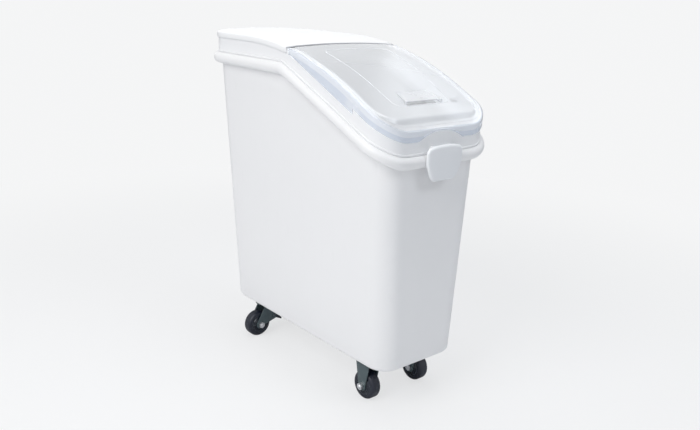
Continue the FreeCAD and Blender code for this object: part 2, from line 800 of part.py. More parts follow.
def brake_pedal():
    """Foot pedal on its pin between the fork's legs, with a shoe that faces the tread."""
    half = fork_gap / 2.0 - pedal_side_play
    y, z = -pedal_pin_setback, pedal_pin_height
    end_y, end_z = y - pedal_reach, z - pedal_drop
    pad_corners = [
        (y, z + pedal_eye_radius), (y - pedal_knee_reach, z + pedal_knee_rise),
        (end_y, end_z + pedal_thickness), (end_y, end_z), (y, z - pedal_eye_radius),
    ]
    pad = polygon_across(pad_corners, -half, half)
    shoe_y, shoe_z = y + pedal_shoe_lead, z - pedal_shoe_drop
    shoe_corners = [
        (y - pedal_eye_radius, z), (y + pedal_eye_radius, z), (shoe_y, shoe_z),
        (shoe_y - pedal_shoe_width, shoe_z),
    ]
    shoe = polygon_across(shoe_corners, -half, half)
    pedal = pad.fuse([shoe, rod(pedal_eye_radius, -half, half, y, z)])
    return pedal.cut(rod(pedal_pin_radius + axle_play, -half, half, y, z)).removeSplitter()


def pedal_pin():
    face = fork_gap / 2.0 + fork_skin
    return rod(pedal_pin_radius, -face, face, -pedal_pin_setback, pedal_pin_height)


def placed(shape, x, y, turn):
    """Turns a caster piece about its own upright axis and moves it to its place."""
    moved = shape.copy()
    moved.rotate(Vector(0, 0, 0), Vector(0, 0, 1), turn)
    moved.translate(Vector(x, y, 0))
    return moved


def save(name, shape):
    shape.exportStep("parts/" + name + ".step")


def wheel_pieces(y):
    """The pieces every caster carries on its axle."""
    return {
        "axle_bolt": axle_bolt(y),
        "axle_nut": axle_nut(y),
        "axle_sleeve": axle_sleeve(y),
        "wheel_core": wheel_core(y),
        "tyre": tyre(y),
    }


save("bin_body", bin_body())
save("lid_collar", lid_collar())
save("rear_cover", rear_cover())
save("clear_lid", clear_lid())
save("front_latch", front_latch())
save("latch_pin", latch_pin())
save("caster_screws", caster_screws())

# Front casters: fixed, axle across the bin, nut on the outer side
for label, x, turn in (("front_left", -front_caster_x, 0.0), ("front_right", front_caster_x, 180.0)):
    bracket = caster_plate(x, front_caster_y).fuse(placed(rigid_bracket(), x, front_caster_y, turn))
    save(label + "_bracket", bracket.removeSplitter())
    for piece, shape in wheel_pieces(0.0).items():
        save(label + "_" + piece, placed(shape, x, front_caster_y, turn))

# Rear casters: swivelled so that each wheel trails outwards and its pedal points inwards
for label, x, turn in (("rear_left", -rear_caster_x, 90.0), ("rear_right", rear_caster_x, -90.0)):
    save(label + "_top_plate", caster_plate(x, rear_caster_y))
    pieces = {
        "ball_race": ball_race(),
        "king_pin": king_pin(),
        "fork": swivel_fork(),
        "brake_pedal": brake_pedal(),
        "pedal_pin": pedal_pin(),
    }
    pieces.update(wheel_pieces(trail))
    for piece, shape in pieces.items():
        save(label + "_" + piece, placed(shape, x, rear_caster_y, turn))
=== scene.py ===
import json
import math

import bmesh
import bpy
from mathutils import Matrix, Vector


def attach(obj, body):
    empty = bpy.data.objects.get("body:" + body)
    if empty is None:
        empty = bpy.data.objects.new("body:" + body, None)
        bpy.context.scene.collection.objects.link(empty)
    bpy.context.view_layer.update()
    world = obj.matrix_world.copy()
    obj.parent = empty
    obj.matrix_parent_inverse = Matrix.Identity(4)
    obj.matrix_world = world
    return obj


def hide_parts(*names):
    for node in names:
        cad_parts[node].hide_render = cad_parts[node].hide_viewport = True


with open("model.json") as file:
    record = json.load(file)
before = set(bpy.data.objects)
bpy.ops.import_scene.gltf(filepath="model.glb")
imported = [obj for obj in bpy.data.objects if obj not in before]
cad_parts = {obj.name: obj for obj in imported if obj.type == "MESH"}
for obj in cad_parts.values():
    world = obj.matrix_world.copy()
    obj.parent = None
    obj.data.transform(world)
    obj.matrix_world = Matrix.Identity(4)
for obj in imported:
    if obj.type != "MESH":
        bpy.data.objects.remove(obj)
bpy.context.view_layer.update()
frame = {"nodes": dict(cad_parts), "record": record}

bl_info = {
    "name": "Ingredient bin",
    "version": (1, 0, 0),
    "blender": (4, 5, 0),
    "location": "3D View > Sidebar > Ingredient bin",
    "description": "Models and finishes a slant-top ingredient bin on casters",
    "category": "Mesh",
}


def mm(value):
    """A length in millimetres as metres."""
    return value * 0.001


def length(name, description, default):
    """A length property; the default is in millimetres."""
    return bpy.props.FloatProperty(name=name, description=description, default=mm(default), unit="LENGTH")


def colour(name, description, default):
    return bpy.props.FloatVectorProperty(
        name=name, description=description, default=default, subtype="COLOR", size=3, min=0.0, max=1.0
    )


class BinSizes(bpy.types.PropertyGroup):
    """Sizes of the bin's own pieces."""

    mouth_half_width: length("Mouth half width", "Half the mouth's width, outside the wall", 134.0)
    mouth_half_length: length("Mouth half length", "Half the mouth's length, outside the wall", 283.0)
    mouth_corner: length("Mouth corner", "Radius of the mouth's corners in plan", 42.0)
    run_out: length("Corner run-out", "How far the corner's slope runs on to the front", 10.0)
    base_height: length("Base height", "Underside of the tub above the floor", 90.0)
    tub_top: length("Tub top", "Height at which the tub's taper meets the mouth's plan", 675.0)
    side_taper: length("Side taper", "How far each side leans in at the base", 30.0)
    front_taper: length("Front taper", "How far the front leans in at the base", 6.0)
    rear_taper: length("Rear taper", "How far the rear leans in at the base", 28.0)
    wall: length("Wall", "Thickness of the tub's wall", 4.0)
    base_edge: length("Base edge", "Round of the tub's lower edge", 10.0)
    bead_rear: length("Bead at rear", "Height of the bead's middle at the rear", 651.0)
    bead_front: length("Bead at front", "Height of the bead's middle at the front", 511.0)
    bead_radius: length("Bead radius", "Half the bead's thickness", 12.0)
    bead_overhang: length("Bead overhang", "How far the bead stands out from the mouth", 16.5)
    rim_rear: length("Rim at rear", "Height of the covers' edge at the rear", 706.0)
    rim_front: length("Rim at front", "Height of the covers' edge at the front", 570.0)
    crown: length("Crown", "Rise of the covers over their edges", 5.0)
    lip_outset: length("Lip outset", "How far the covers' lip stands out from the mouth", 9.0)
    lip_depth: length("Lip depth", "Depth of the covers' lip", 12.0)
    lid_rear: length("Lid rear", "Place of the lid's rear edge", -9.0)
    skirt_depth: length("Skirt depth", "Depth of the lid's front skirt", 22.0)
    wing_depth: length("Wing depth", "Depth of the side wings at their front", 32.0)
    arch_half_width: length("Arch half width", "Half the finger arch's width", 57.0)
    arch_rise: length("Arch rise", "Rise of the finger arch", 17.0)
    lid_skin: length("Lid skin", "Thickness of the clear lid", 2.0)
    cover_skin: length("Cover skin", "Thickness of the rear cover", 2.4)
    wheel_radius: length("Wheel radius", "Outside radius of the tyres", 30.0)
    tyre_width: length("Tyre width", "Width of the tyres", 24.0)


class BinColours(bpy.types.PropertyGroup):
    """Colours of the finishes."""

    body: colour("Body", "Moulded tub", (0.86, 0.86, 0.865))
    collar: colour("Collar", "Collar between bead and covers", (0.875, 0.88, 0.89))
    cover: colour("Cover", "Rear cover", (0.885, 0.888, 0.895))
    # Partly painted shade: bluer and darker than the other whites for the cool shade on the latch's
    # front-facing face.
    latch: colour("Latch", "Front latch", (0.84, 0.855, 0.875))
    clear: colour("Clear lid", "Tint of the clear lid", (0.975, 0.985, 1.0))
    # Painted shade: the skirt's darker blue-grey stands in for the shadowed gap between the lid's skirt and
    # the collar.
    skirt: colour("Lid skirt", "Tint of the clear lid's skirt and wings", (0.78, 0.82, 0.89))
    # Partly the dark navy paint, partly a painted reflection: the grey-teal tone stands in for the pale
    # surroundings reflected in the gloss.
    steel_paint_and_reflection: colour("Painted steel", "Caster brackets and forks", (0.060, 0.088, 0.097))
    hub: colour("Hub", "Wheel hubs", (0.012, 0.018, 0.030))
    tread: colour("Tread", "Tyres", (0.004, 0.007, 0.018))
    pedal: colour("Pedal", "Brake pedals", (0.010, 0.014, 0.026))
    zinc: colour("Zinc", "Bolts, nuts, pins and screws", (0.62, 0.63, 0.65))
    floor: colour("Floor", "Studio floor", (0.90, 0.905, 0.915))


# Modelling helpers


def settle():
    """Leaves edit mode and deselects everything."""
    active = bpy.context.view_layer.objects.active
    if active is not None and active.mode != "OBJECT":
        bpy.ops.object.mode_set(mode="OBJECT")
    bpy.ops.object.select_all(action="DESELECT")


def hold(piece):
    """Makes one piece the only selected one."""
    settle()
    piece.select_set(True)
    bpy.context.view_layer.objects.active = piece


def named(name):
    """Names the piece that an operator has just added."""
    piece = bpy.context.view_layer.objects.active
    piece.name = name
    piece.data.name = name
    return piece


def seal(piece):
    """Merges doubles, drops what is loose and turns the faces outwards."""
    hold(piece)
    bpy.ops.object.mode_set(mode="EDIT")
    bpy.ops.mesh.select_all(action="SELECT")
    bpy.ops.mesh.remove_doubles(threshold=mm(0.005))
    bpy.ops.mesh.dissolve_degenerate(threshold=mm(0.003))
    bpy.ops.mesh.delete_loose()
    bpy.ops.mesh.select_all(action="SELECT")
    bpy.ops.mesh.normals_make_consistent(inside=False)
    bpy.ops.object.mode_set(mode="OBJECT")
    return piece


def modify(piece, kind, **values):
    """Adds a modifier and applies it."""
    hold(piece)
    modifier = piece.modifiers.new(kind.title(), kind)
    for key, value in values.items():
        setattr(modifier, key, value)
    bpy.ops.object.modifier_apply(modifier=modifier.name)
    return piece


def soften(piece, width, segments=2, angle=35.0):
    """Rounds a piece's sharp edges."""
    return modify(
        piece, "BEVEL", width=width, segments=segments, limit_method="ANGLE", angle_limit=math.radians(angle)
    )


def joined(first, *others):
    """One piece out of several."""
    hold(first)
    for piece in others:
        piece.select_set(True)
    bpy.ops.object.join()
    return first


def grid_sheet(name, columns):
    """A grid whose points are moved to columns of points, all of one length."""
    settle()
    across, along = len(columns) - 1, len(columns[0]) - 1
    bpy.ops.mesh.primitive_grid_add(x_subdivisions=across, y_subdivisions=along, size=2.0)
    piece = named(name)
    for vertex in piece.data.vertices:
        column = round((vertex.co.x + 1.0) / 2.0 * across)
        row = round((vertex.co.y + 1.0) / 2.0 * along)
        vertex.co = columns[column][row]
    return piece


def outline_ring(name, points, fill):
    """A circle whose points are moved to a closed outline."""
    settle()
    bpy.ops.mesh.primitive_circle_add(vertices=len(points), fill_type=fill)
    piece = named(name)
    for vertex, point in zip(piece.data.vertices, points):
        vertex.co = point
    return piece


def prism(name, points, depth):
    """A flat outline extruded by a vector."""
    piece = outline_ring(name, points, "NGON")
    hold(piece)
    bpy.ops.object.mode_set(mode="EDIT")
    bpy.ops.mesh.select_all(action="SELECT")
    bpy.ops.mesh.extrude_region_move(TRANSFORM_OT_translate={"value": depth})
    return seal(piece)


def slab(name, points, depth, bevel, segments=2):
    """A prism with rounded edges."""
    return soften(prism(name, points, depth), bevel, segments)


def bar(name, spots, start, width, bevel, segments=2):
    """A slab with a (y, z) outline that runs along X from a start."""
    return slab(name, [Vector((start, y, z)) for y, z in spots], (width, 0, 0), bevel, segments)


def turned(name, section, steps=72):
    """A closed (x, radius) section spun about the X axis."""
    piece = outline_ring(name, [Vector((x, 0.0, radius)) for x, radius in section], "NOTHING")
    hold(piece)
    bpy.ops.object.mode_set(mode="EDIT")
    bpy.ops.mesh.select_all(action="SELECT")
    bpy.ops.mesh.spin(steps=steps, angle=math.tau, center=(0, 0, 0), axis=(1, 0, 0))
    return seal(piece)


def rounded(corners, radii, steps=6):
    """A flat (a, b) outline with its corners rounded."""
    points = []
    count = len(corners)
    for i, radius in enumerate(radii):
        corner = Vector(corners[i])
        before = (Vector(corners[i - 1]) - corner).normalized()
        after = (Vector(corners[(i + 1) % count]) - corner).normalized()
        half = before.angle(after) / 2.0
        reach = radius / math.tan(half)
        centre = corner + (before + after).normalized() * (radius / math.sin(half))
        start = corner + before * reach - centre
        turn = start.angle_signed(corner + after * reach - centre)
        for k in range(steps + 1):
            points.append(centre + Matrix.Rotation(-turn * k / steps, 2) @ start)
    return points


def copy_at(piece, name, place):
    """A copy with its own mesh, put in place."""
    twin = piece.copy()
    twin.data = piece.data.copy()
    twin.data.transform(place)
    twin.name = name
    twin.data.name = name
    bpy.context.scene.collection.objects.link(twin)
    return twin


def drop(*pieces):
    """Removes the patterns that copies were made from."""
    for piece in pieces:
        bpy.data.objects.remove(piece)


BODY_OF = {node: body for body, nodes in frame["record"]["behaviour"]["bodies"].items() for node in nodes}


def dress(piece, finish, slot, *nodes, angle=32.0):
    """Shades a piece, gives it its finish and lets it stand for its nodes on their body."""
    hold(piece)
    bpy.ops.object.shade_smooth_by_angle(angle=math.radians(angle))
    piece.data.materials.clear()
    piece.data.materials.append(finish)
    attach(piece, BODY_OF[nodes[0]])
    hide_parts(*nodes)


def paint(finish, *nodes):
    """Gives a finish to nodes whose own shape is kept."""
    for node in nodes:
        mesh = frame["nodes"][node].data
        mesh.materials.clear()
        mesh.materials.append(finish)


def lerp(a, b, share):
    return a + (b - a) * share


def spaced(start, end, count):
    """Even values from start up to, but not including, end."""
    return [lerp(start, end, i / count) for i in range(count)]


# Plan of the mouth

HINGE_DROP = mm(3.5)


class RimLine:
    """A line round the mouth: level behind, sloping on the sides, level in front."""

    def __init__(self, sizes, rear, front, kink_y, bend_radius, corner_drop):
        self.rear, self.front, self.bend_radius = rear, front, bend_radius
        self.corner_y = sizes.mouth_corner - sizes.mouth_half_length
        self.slope = (rear - front - corner_drop) / (kink_y - self.corner_y)
        angle = math.atan(self.slope)
        self.bend_y = kink_y + bend_radius * math.tan(angle / 2.0)
        self.bend_end_y = self.bend_y - bend_radius * math.sin(angle)
        self.bend_end_z = rear - bend_radius * (1.0 - math.cos(angle))
        self.length = sizes.mouth_corner * math.pi / 2.0 + sizes.run_out

    def side(self, y):
        """Height on the side, with the slope carried straight on to the front."""
        if y >= self.bend_y:
            return self.rear
        if y >= self.bend_end_y:
            return self.rear - self.bend_radius + math.sqrt(self.bend_radius**2 - (self.bend_y - y) ** 2)
        return self.bend_end_z - self.slope * (self.bend_end_y - y)

    def turn(self, along):
        """Height along the front corner, easing from the side's slope to the level front."""
        share = min(1.0, along / self.length)
        start = self.side(self.corner_y)
        rise, first = self.front - start, -self.slope * self.length
        return start + first * share + (3 * rise - 2 * first) * share**2 + (first - 2 * rise) * share**3


class Station:
    """A place on the mouth's plan: its point, its outward direction and the lines' heights."""

    def __init__(self, x, y, out_x, out_y, bead, rim, flange):
        self.x, self.y, self.out_x, self.out_y = x, y, out_x, out_y
        self.bead, self.rim, self.flange = bead, rim, flange
        self.depth = 0.0

    def at(self, offset, z):
        return Vector((self.x + self.out_x * offset, self.y + self.out_y * offset, z))

    def mirrored(self):
        twin = Station(-self.x, self.y, -self.out_x, self.out_y, self.bead, self.rim, self.flange)
        twin.depth = self.depth
        return twin


class Mouth:
    """The mouth's plan with the lines of the bead, the rim and the inner edge of the lid's flange."""

    def __init__(self, sizes):
        self.sizes = sizes
        bead_bend = {"kink_y": mm(15.0), "bend_radius": mm(40.0)}
        rim_bend = {"kink_y": mm(-40.0), "bend_radius": mm(750.0)}
        flange_front = sizes.rim_front + mm(12.0)
        self.bead = RimLine(sizes, sizes.bead_rear, sizes.bead_front, corner_drop=mm(29.0), **bead_bend)
        self.rim = RimLine(sizes, sizes.rim_rear, sizes.rim_front, corner_drop=mm(35.5), **rim_bend)
        self.flange = RimLine(sizes, sizes.rim_rear, flange_front, corner_drop=mm(23.5), **rim_bend)
        self.hinge_z = self.rim.side(sizes.lid_rear) - HINGE_DROP
        self.core_x = sizes.mouth_half_width - sizes.mouth_corner
        self.core_y = sizes.mouth_half_length - sizes.mouth_corner

    def on_side(self, y):
        rim = self.rim.side(y)
        return Station(-self.sizes.mouth_half_width, y, -1.0, 0.0, self.bead.side(y), rim, rim)

    def on_rear(self, x):
        rim = self.rim.rear
        return Station(x, self.sizes.mouth_half_length, 0.0, 1.0, self.bead.rear, rim, rim)

    def on_rear_corner(self, share):
        angle = math.pi / 2.0 * (1.0 + share)
        out_x, out_y = math.cos(angle), math.sin(angle)
        radius = self.sizes.mouth_corner
        x, y = radius * out_x - self.core_x, radius * out_y + self.core_y
        return Station(x, y, out_x, out_y, self.bead.rear, self.rim.rear, self.rim.rear)

    def on_front_corner(self, share):
        angle = math.pi * (1.0 + share / 2.0)
        out_x, out_y = math.cos(angle), math.sin(angle)
        radius = self.sizes.mouth_corner
        along = radius * math.pi / 2.0 * share
        x, y = radius * out_x - self.core_x, radius * out_y - self.core_y
        return Station(x, y, out_x, out_y, *self.heights(along))

    def on_front(self, x):
        along = self.sizes.mouth_corner * math.pi / 2.0 + x + self.core_x
        return Station(x, -self.sizes.mouth_half_length, 0.0, -1.0, *self.heights(along))

    def heights(self, along):
        """Heights of the lines round the front corner."""
        return [line.turn(along) for line in (self.bead, self.rim, self.flange)]

    def loop(self):
        """Stations all the way round, from the rear's middle over the left; the first closes the loop."""
        left = [self.on_rear(x) for x in spaced(0.0, -self.core_x, 4)]
        left += [self.on_rear_corner(share) for share in spaced(0.0, 1.0, 10)]
        left += [self.on_side(y) for y in spaced(self.core_y, self.bead.bend_y, 9)]
        left += [self.on_side(y) for y in spaced(self.bead.bend_y, self.bead.bend_end_y, 8)]
        left += [self.on_side(y) for y in spaced(self.bead.bend_end_y, -self.core_y, 14)]
        left += [self.on_front_corner(share) for share in spaced(0.0, 1.0, 14)]
        left += [self.on_front(x) for x in spaced(-self.core_x, 0.0, 9)]
        front = self.on_front(0.0)
        right = [station.mirrored() for station in reversed(left)]
        return left + [front] + right

    def panel(self, x, y):
        """Height of the covers' crowned top."""
        sizes = self.sizes
        reach = sizes.mouth_half_length - mm(8.0) + sizes.lid_rear
        share = min(1.0, max(0.0, (sizes.lid_rear - y) / reach))
        rise = lerp(sizes.crown, mm(1.0), share)
        return self.rim.side(y) + rise * (1.0 - (x / (sizes.mouth_half_width + sizes.lip_outset)) ** 2)


def arc(centre, radius, start, end, steps):
    """Points (a, b) of an arc, angles in degrees, both ends included."""
    points = []
    for i in range(steps + 1):
        angle = math.radians(lerp(start, end, i / steps))
        points.append((centre[0] + radius * math.cos(angle), centre[1] + radius * math.sin(angle)))
    return points


def inner_patch(name, edge, across, height):
    """A panel inside a U-shaped edge; the edge runs down one side, across the end and back."""
    along = (len(edge) - 1 - across) // 2
    left, end = edge[: along + 1], edge[along: along + across + 1]
    right = list(reversed(edge[along + across:]))

    def shares(points):
        total = [0.0]
        for a, b in zip(points, points[1:]):
            total.append(total[-1] + (b.xy - a.xy).length)
        return [value / total[-1] for value in total]

    columns = []
    v_shares = shares(left)
    for i, u in enumerate(shares(end)):
        column = []
        for j, v in enumerate(v_shares):
            open_end = left[0].xy.lerp(right[0].xy, u)
            sides = left[j].xy.lerp(right[j].xy, u)
            ends = open_end.lerp(end[i].xy, v)
            corners = open_end.lerp(end[0].xy.lerp(end[-1].xy, u), v)
            spot = sides + ends - corners
            column.append(Vector((spot.x, spot.y, height(spot.x, spot.y))))
        columns.append(column)
    return grid_sheet(name, columns)


# Finishes

# Colour sockets of a Mix node
MIX_FIRST, MIX_SECOND, MIX_RESULT = 6, 7, 2


class Finish:
    """Builds one material's nodes."""

    def __init__(self, name):
        self.material = bpy.data.materials.new(name)
        self.material.use_nodes = True
        self.tree = self.material.node_tree
        self.tree.nodes.clear()
        self.output = self.node("ShaderNodeOutputMaterial")
        self.shader = self.node("ShaderNodeBsdfPrincipled")
        self.link(self.shader.outputs[0], self.output.inputs["Surface"])
        self.place = self.node("ShaderNodeTexCoord").outputs["Object"]

    def node(self, kind, **settings):
        node = self.tree.nodes.new(kind)
        for key, value in settings.items():
            setattr(node, key, value)
        return node

    def link(self, output, socket):
        self.tree.links.new(output, socket)

    def group(self, tree, **values):
        node = self.node("ShaderNodeGroup", node_tree=tree)
        self.link(self.place, node.inputs["Place"])
        for key, value in values.items():
            node.inputs[key].default_value = value
        return node

    def set(self, **values):
        for key, value in values.items():
            self.shader.inputs[key.replace("_", " ")].default_value = value

    def blend(self, mask, first, second, socket):
        """Mixes two colours by a mask on to a socket."""
        mix = self.node("ShaderNodeMix", data_type="RGBA")
        self.link(mask, mix.inputs[0])
        mix.inputs[MIX_FIRST].default_value = (*first, 1.0)
        mix.inputs[MIX_SECOND].default_value = (*second, 1.0)
        self.link(mix.outputs[MIX_RESULT], self.shader.inputs[socket])

    def span(self, mask, low, high, socket):
        """Spreads a mask between two values on to a socket."""
        spread = self.node("ShaderNodeMapRange")
        spread.inputs["To Min"].default_value = low
        spread.inputs["To Max"].default_value = high
        self.link(mask, spread.inputs["Value"])
        self.link(spread.outputs[0], self.shader.inputs[socket])

    def bump(self, height, strength, distance):
        bump = self.node("ShaderNodeBump")
        bump.inputs["Strength"].default_value = strength
        bump.inputs["Distance"].default_value = distance
        self.link(height, bump.inputs["Height"])
        self.link(bump.outputs[0], self.shader.inputs["Normal"])


def new_group(name, inputs, outputs):
    """An empty shader group with a place input, value inputs and value outputs."""
    tree = bpy.data.node_groups.new(name, "ShaderNodeTree")
    tree.interface.new_socket("Place", in_out="INPUT", socket_type="NodeSocketVector")
    for title, default in inputs.items():
        socket = tree.interface.new_socket(title, in_out="INPUT", socket_type="NodeSocketFloat")
        socket.default_value = default
    for title in outputs:
        tree.interface.new_socket(title, in_out="OUTPUT", socket_type="NodeSocketFloat")
    return tree, tree.nodes.new("NodeGroupInput"), tree.nodes.new("NodeGroupOutput")


def moulded_grain():
    """Fine grain of a moulded skin, with slow cloudiness over it."""
    inputs = {"Grain Scale": 900.0, "Cloud Scale": 6.0}
    tree, source, sink = new_group("Moulded grain", inputs, ["Grain", "Cloud"])
    for title, scale, detail in (("Grain", "Grain Scale", 3.0), ("Cloud", "Cloud Scale", 2.0)):
        noise = tree.nodes.new("ShaderNodeTexNoise")
        noise.inputs["Detail"].default_value = detail
        tree.links.new(source.outputs["Place"], noise.inputs["Vector"])
        tree.links.new(source.outputs[scale], noise.inputs["Scale"])
        tree.links.new(noise.outputs["Fac"], sink.inputs[title])
    return tree


def handling_marks():
    """Thin scuffs and rubbed patches."""
    tree, source, sink = new_group("Handling marks", {"Scale": 14.0, "Amount": 0.5}, ["Marks"])
    stretch = tree.nodes.new("ShaderNodeMapping")
    stretch.inputs["Rotation"].default_value = (0.3, 0.5, 0.9)
    stretch.inputs["Scale"].default_value = (1.0, 6.0, 1.6)
    noise = tree.nodes.new("ShaderNodeTexNoise")
    noise.inputs["Detail"].default_value = 6.0
    noise.inputs["Roughness"].default_value = 0.62
    ramp = tree.nodes.new("ShaderNodeMapRange")
    ramp.interpolation_type = "SMOOTHSTEP"
    ramp.inputs["From Min"].default_value = 0.56
    ramp.inputs["From Max"].default_value = 0.74
    amount = tree.nodes.new("ShaderNodeMath")
    amount.operation = "MULTIPLY"
    tree.links.new(source.outputs["Place"], stretch.inputs["Vector"])
    tree.links.new(stretch.outputs[0], noise.inputs["Vector"])
    tree.links.new(source.outputs["Scale"], noise.inputs["Scale"])
    tree.links.new(noise.outputs["Fac"], ramp.inputs["Value"])
    tree.links.new(ramp.outputs[0], amount.inputs[0])
    tree.links.new(source.outputs["Amount"], amount.inputs[1])
    tree.links.new(amount.outputs[0], sink.inputs["Marks"])
    return tree


def shade(tone, factor):
    return tuple(channel * factor for channel in tone)


def moulded_finish(name, grain_tree, marks_tree, tone, gloss, grain, cloud, bump, marks):
    """White or dark moulded plastic: cloudy tone, uneven gloss, fine grain and faint scuffs."""
    finish = Finish(name)
    skin = finish.group(grain_tree, **{"Grain Scale": grain, "Cloud Scale": cloud})
    scuffs = finish.group(marks_tree, Amount=marks)
    worn = finish.node("ShaderNodeMath", operation="ADD", use_clamp=True)
    half = finish.node("ShaderNodeMath", operation="MULTIPLY")
    half.inputs[1].default_value = 0.5
    finish.link(skin.outputs["Cloud"], half.inputs[0])
    finish.link(half.outputs[0], worn.inputs[0])
    finish.link(scuffs.outputs["Marks"], worn.inputs[1])
    finish.blend(worn.outputs[0], shade(tone, 1.012), shade(tone, 0.965), "Base Color")
    finish.span(worn.outputs[0], gloss[0], gloss[1], "Roughness")
    finish.bump(skin.outputs["Grain"], bump, mm(0.2))
    return finish.material


def skirt_shade_mask():
    """Upright faces of the lid's skirt, where the painted shade goes: outside the mouth's plan, but not as
    far out as the lip.
    """
    tree, source, sink = new_group("Skirt painted shade mask", {}, ["Mask"])

    def chain(operation, output, second):
        node = tree.nodes.new("ShaderNodeVectorMath")
        node.operation = operation
        tree.links.new(output, node.inputs[0])
        node.inputs[1].default_value = second
        return node.outputs

    def ramp(output, low, high, first, last):
        node = tree.nodes.new("ShaderNodeMapRange")
        node.interpolation_type = "SMOOTHSTEP"
        for title, value in (("From Min", low), ("From Max", high), ("To Min", first), ("To Max", last)):
            node.inputs[title].default_value = value
        tree.links.new(output, node.inputs["Value"])
        return node.outputs[0]

    def times(first, second):
        node = tree.nodes.new("ShaderNodeMath")
        node.operation = "MULTIPLY"
        tree.links.new(first, node.inputs[0])
        tree.links.new(second, node.inputs[1])
        return node.outputs[0]

    spot = chain("ABSOLUTE", source.outputs["Place"], (0.0, 0.0, 0.0))["Vector"]
    core_x, core_y, past_any_height = mm(92.0), mm(241.0), 9.0
    spot = chain("SUBTRACT", spot, (core_x, core_y, past_any_height))["Vector"]
    spot = chain("MAXIMUM", spot, (0.0, 0.0, 0.0))["Vector"]
    reach = chain("LENGTH", spot, (0.0, 0.0, 0.0))["Value"]
    facing = tree.nodes.new("ShaderNodeTexCoord").outputs["Normal"]
    facing = chain("MULTIPLY", facing, (0.0, 0.0, 1.0))["Vector"]
    level = chain("LENGTH", facing, (0.0, 0.0, 0.0))["Value"]
    outside = ramp(reach, mm(47.6), mm(48.2), 0.0, 1.0)
    behind = ramp(reach, mm(50.6), mm(50.9), 1.0, 0.0)
    upright = ramp(level, 0.8, 0.97, 1.0, 0.0)
    tree.links.new(times(times(outside, behind), upright), sink.inputs["Mask"])
    return tree


def clear_finish(name, tone, skirt_shade_tone, grain_tree, marks_tree):
    """Clear moulded plastic with faint haze; light passes through it to what is inside. The skirt and wings
    get a darker blue-grey, a painted shade of the shadowed gap behind them.
    """
    finish = Finish(name)
    finish.set(Transmission_Weight=0.7, IOR=1.49)
    skirt = finish.group(skirt_shade_mask())
    # Painted shade: darker blue-grey on the upright faces of the skirt and wings
    finish.blend(skirt.outputs["Mask"], tone, skirt_shade_tone, "Base Color")
    skin = finish.group(grain_tree, **{"Grain Scale": 240.0, "Cloud Scale": 9.0})
    scuffs = finish.group(marks_tree, Scale=22.0, Amount=0.6)
    finish.span(scuffs.outputs["Marks"], 0.02, 0.07, "Roughness")
    finish.bump(skin.outputs["Grain"], 0.01, mm(0.1))
    path = finish.node("ShaderNodeLightPath")
    either = finish.node("ShaderNodeMath", operation="MAXIMUM")
    through = finish.node("ShaderNodeBsdfTransparent")
    through.inputs["Color"].default_value = (0.96, 0.97, 0.98, 1.0)
    mix = finish.node("ShaderNodeMixShader")
    finish.link(path.outputs["Is Shadow Ray"], either.inputs[0])
    finish.link(path.outputs["Is Diffuse Ray"], either.inputs[1])
    finish.link(either.outputs[0], mix.inputs[0])
    finish.link(finish.shader.outputs[0], mix.inputs[1])
    finish.link(through.outputs[0], mix.inputs[2])
    finish.link(mix.outputs[0], finish.output.inputs["Surface"])
    return finish.material


def zinc_finish(name, tone, grain_tree, marks_tree):
    """Bright zinc plate with dull patches."""
    finish = Finish(name)
    finish.set(Metallic=1.0)
    skin = finish.group(grain_tree, **{"Grain Scale": 420.0, "Cloud Scale": 60.0})
    scuffs = finish.group(marks_tree, Scale=60.0, Amount=0.8)
    finish.blend(scuffs.outputs["Marks"], tone, shade(tone, 0.72), "Base Color")
    finish.span(skin.outputs["Cloud"], 0.22, 0.42, "Roughness")
    finish.bump(skin.outputs["Grain"], 0.12, mm(0.1))
    return finish.material


def finishes(colours):
    """Every finish of the bin, by name; made once."""
    if FINISH_TITLES[0] in bpy.data.materials:
        return {title: bpy.data.materials[title] for title in FINISH_TITLES}
    grain, marks = moulded_grain(), handling_marks()
    # Tone, least and most roughness, grain scale, cloud scale, bump and scuffs
    moulded = {
        "Tub white": (colours.body, (0.36, 0.50), 620.0, 5.0, 0.16, 0.25),
        "Collar white": (colours.collar, (0.30, 0.42), 800.0, 8.0, 0.08, 0.15),
        "Cover white": (colours.cover, (0.26, 0.34), 800.0, 5.0, 0.05, 0.05),
        # The latch's tone holds a painted cool shade of its front-facing face
        "Latch white with painted shade": (colours.latch, (0.26, 0.38), 800.0, 20.0, 0.07, 0.2),
        # The steel paint's grey-teal tone holds a painted reflection of the surroundings
        "Steel paint and painted reflection": (colours.steel_paint_and_reflection, (0.30, 0.46), 380.0, 40.0, 0.10, 1.0),
        "Hub plastic": (colours.hub, (0.22, 0.34), 520.0, 50.0, 0.12, 1.0),
        "Tread rubber": (colours.tread, (0.38, 0.62), 460.0, 60.0, 0.2, 1.0),
        "Pedal plastic": (colours.pedal, (0.36, 0.55), 520.0, 60.0, 0.15, 1.0),
    }
    made = {title: moulded_finish(title, grain, marks, *values) for title, values in moulded.items()}
    made["Clear plastic"] = clear_finish("Clear plastic", colours.clear, colours.skirt, grain, marks)
    made["Zinc plate"] = zinc_finish("Zinc plate", colours.zinc, grain, marks)
    return made


FINISH_TITLES = (
    "Tub white", "Collar white", "Cover white", "Latch white with painted shade", "Clear plastic", "Steel paint and painted reflection", "Hub plastic",
    "Tread rubber", "Pedal plastic", "Zinc plate",
)


# Operators, one for each piece or group of like pieces

LATCH_PIN = (mm(-294.5), mm(533.0))
KNUCKLE_RADIUS = mm(4.2)


class PieceOperator:
    """What the piece operators share."""

    bl_options = {"REGISTER"}

    def execute(self, context):
        scene = context.scene
        self.build(scene.bin_sizes, finishes(scene.bin_colours))
        settle()
        return {"FINISHED"}


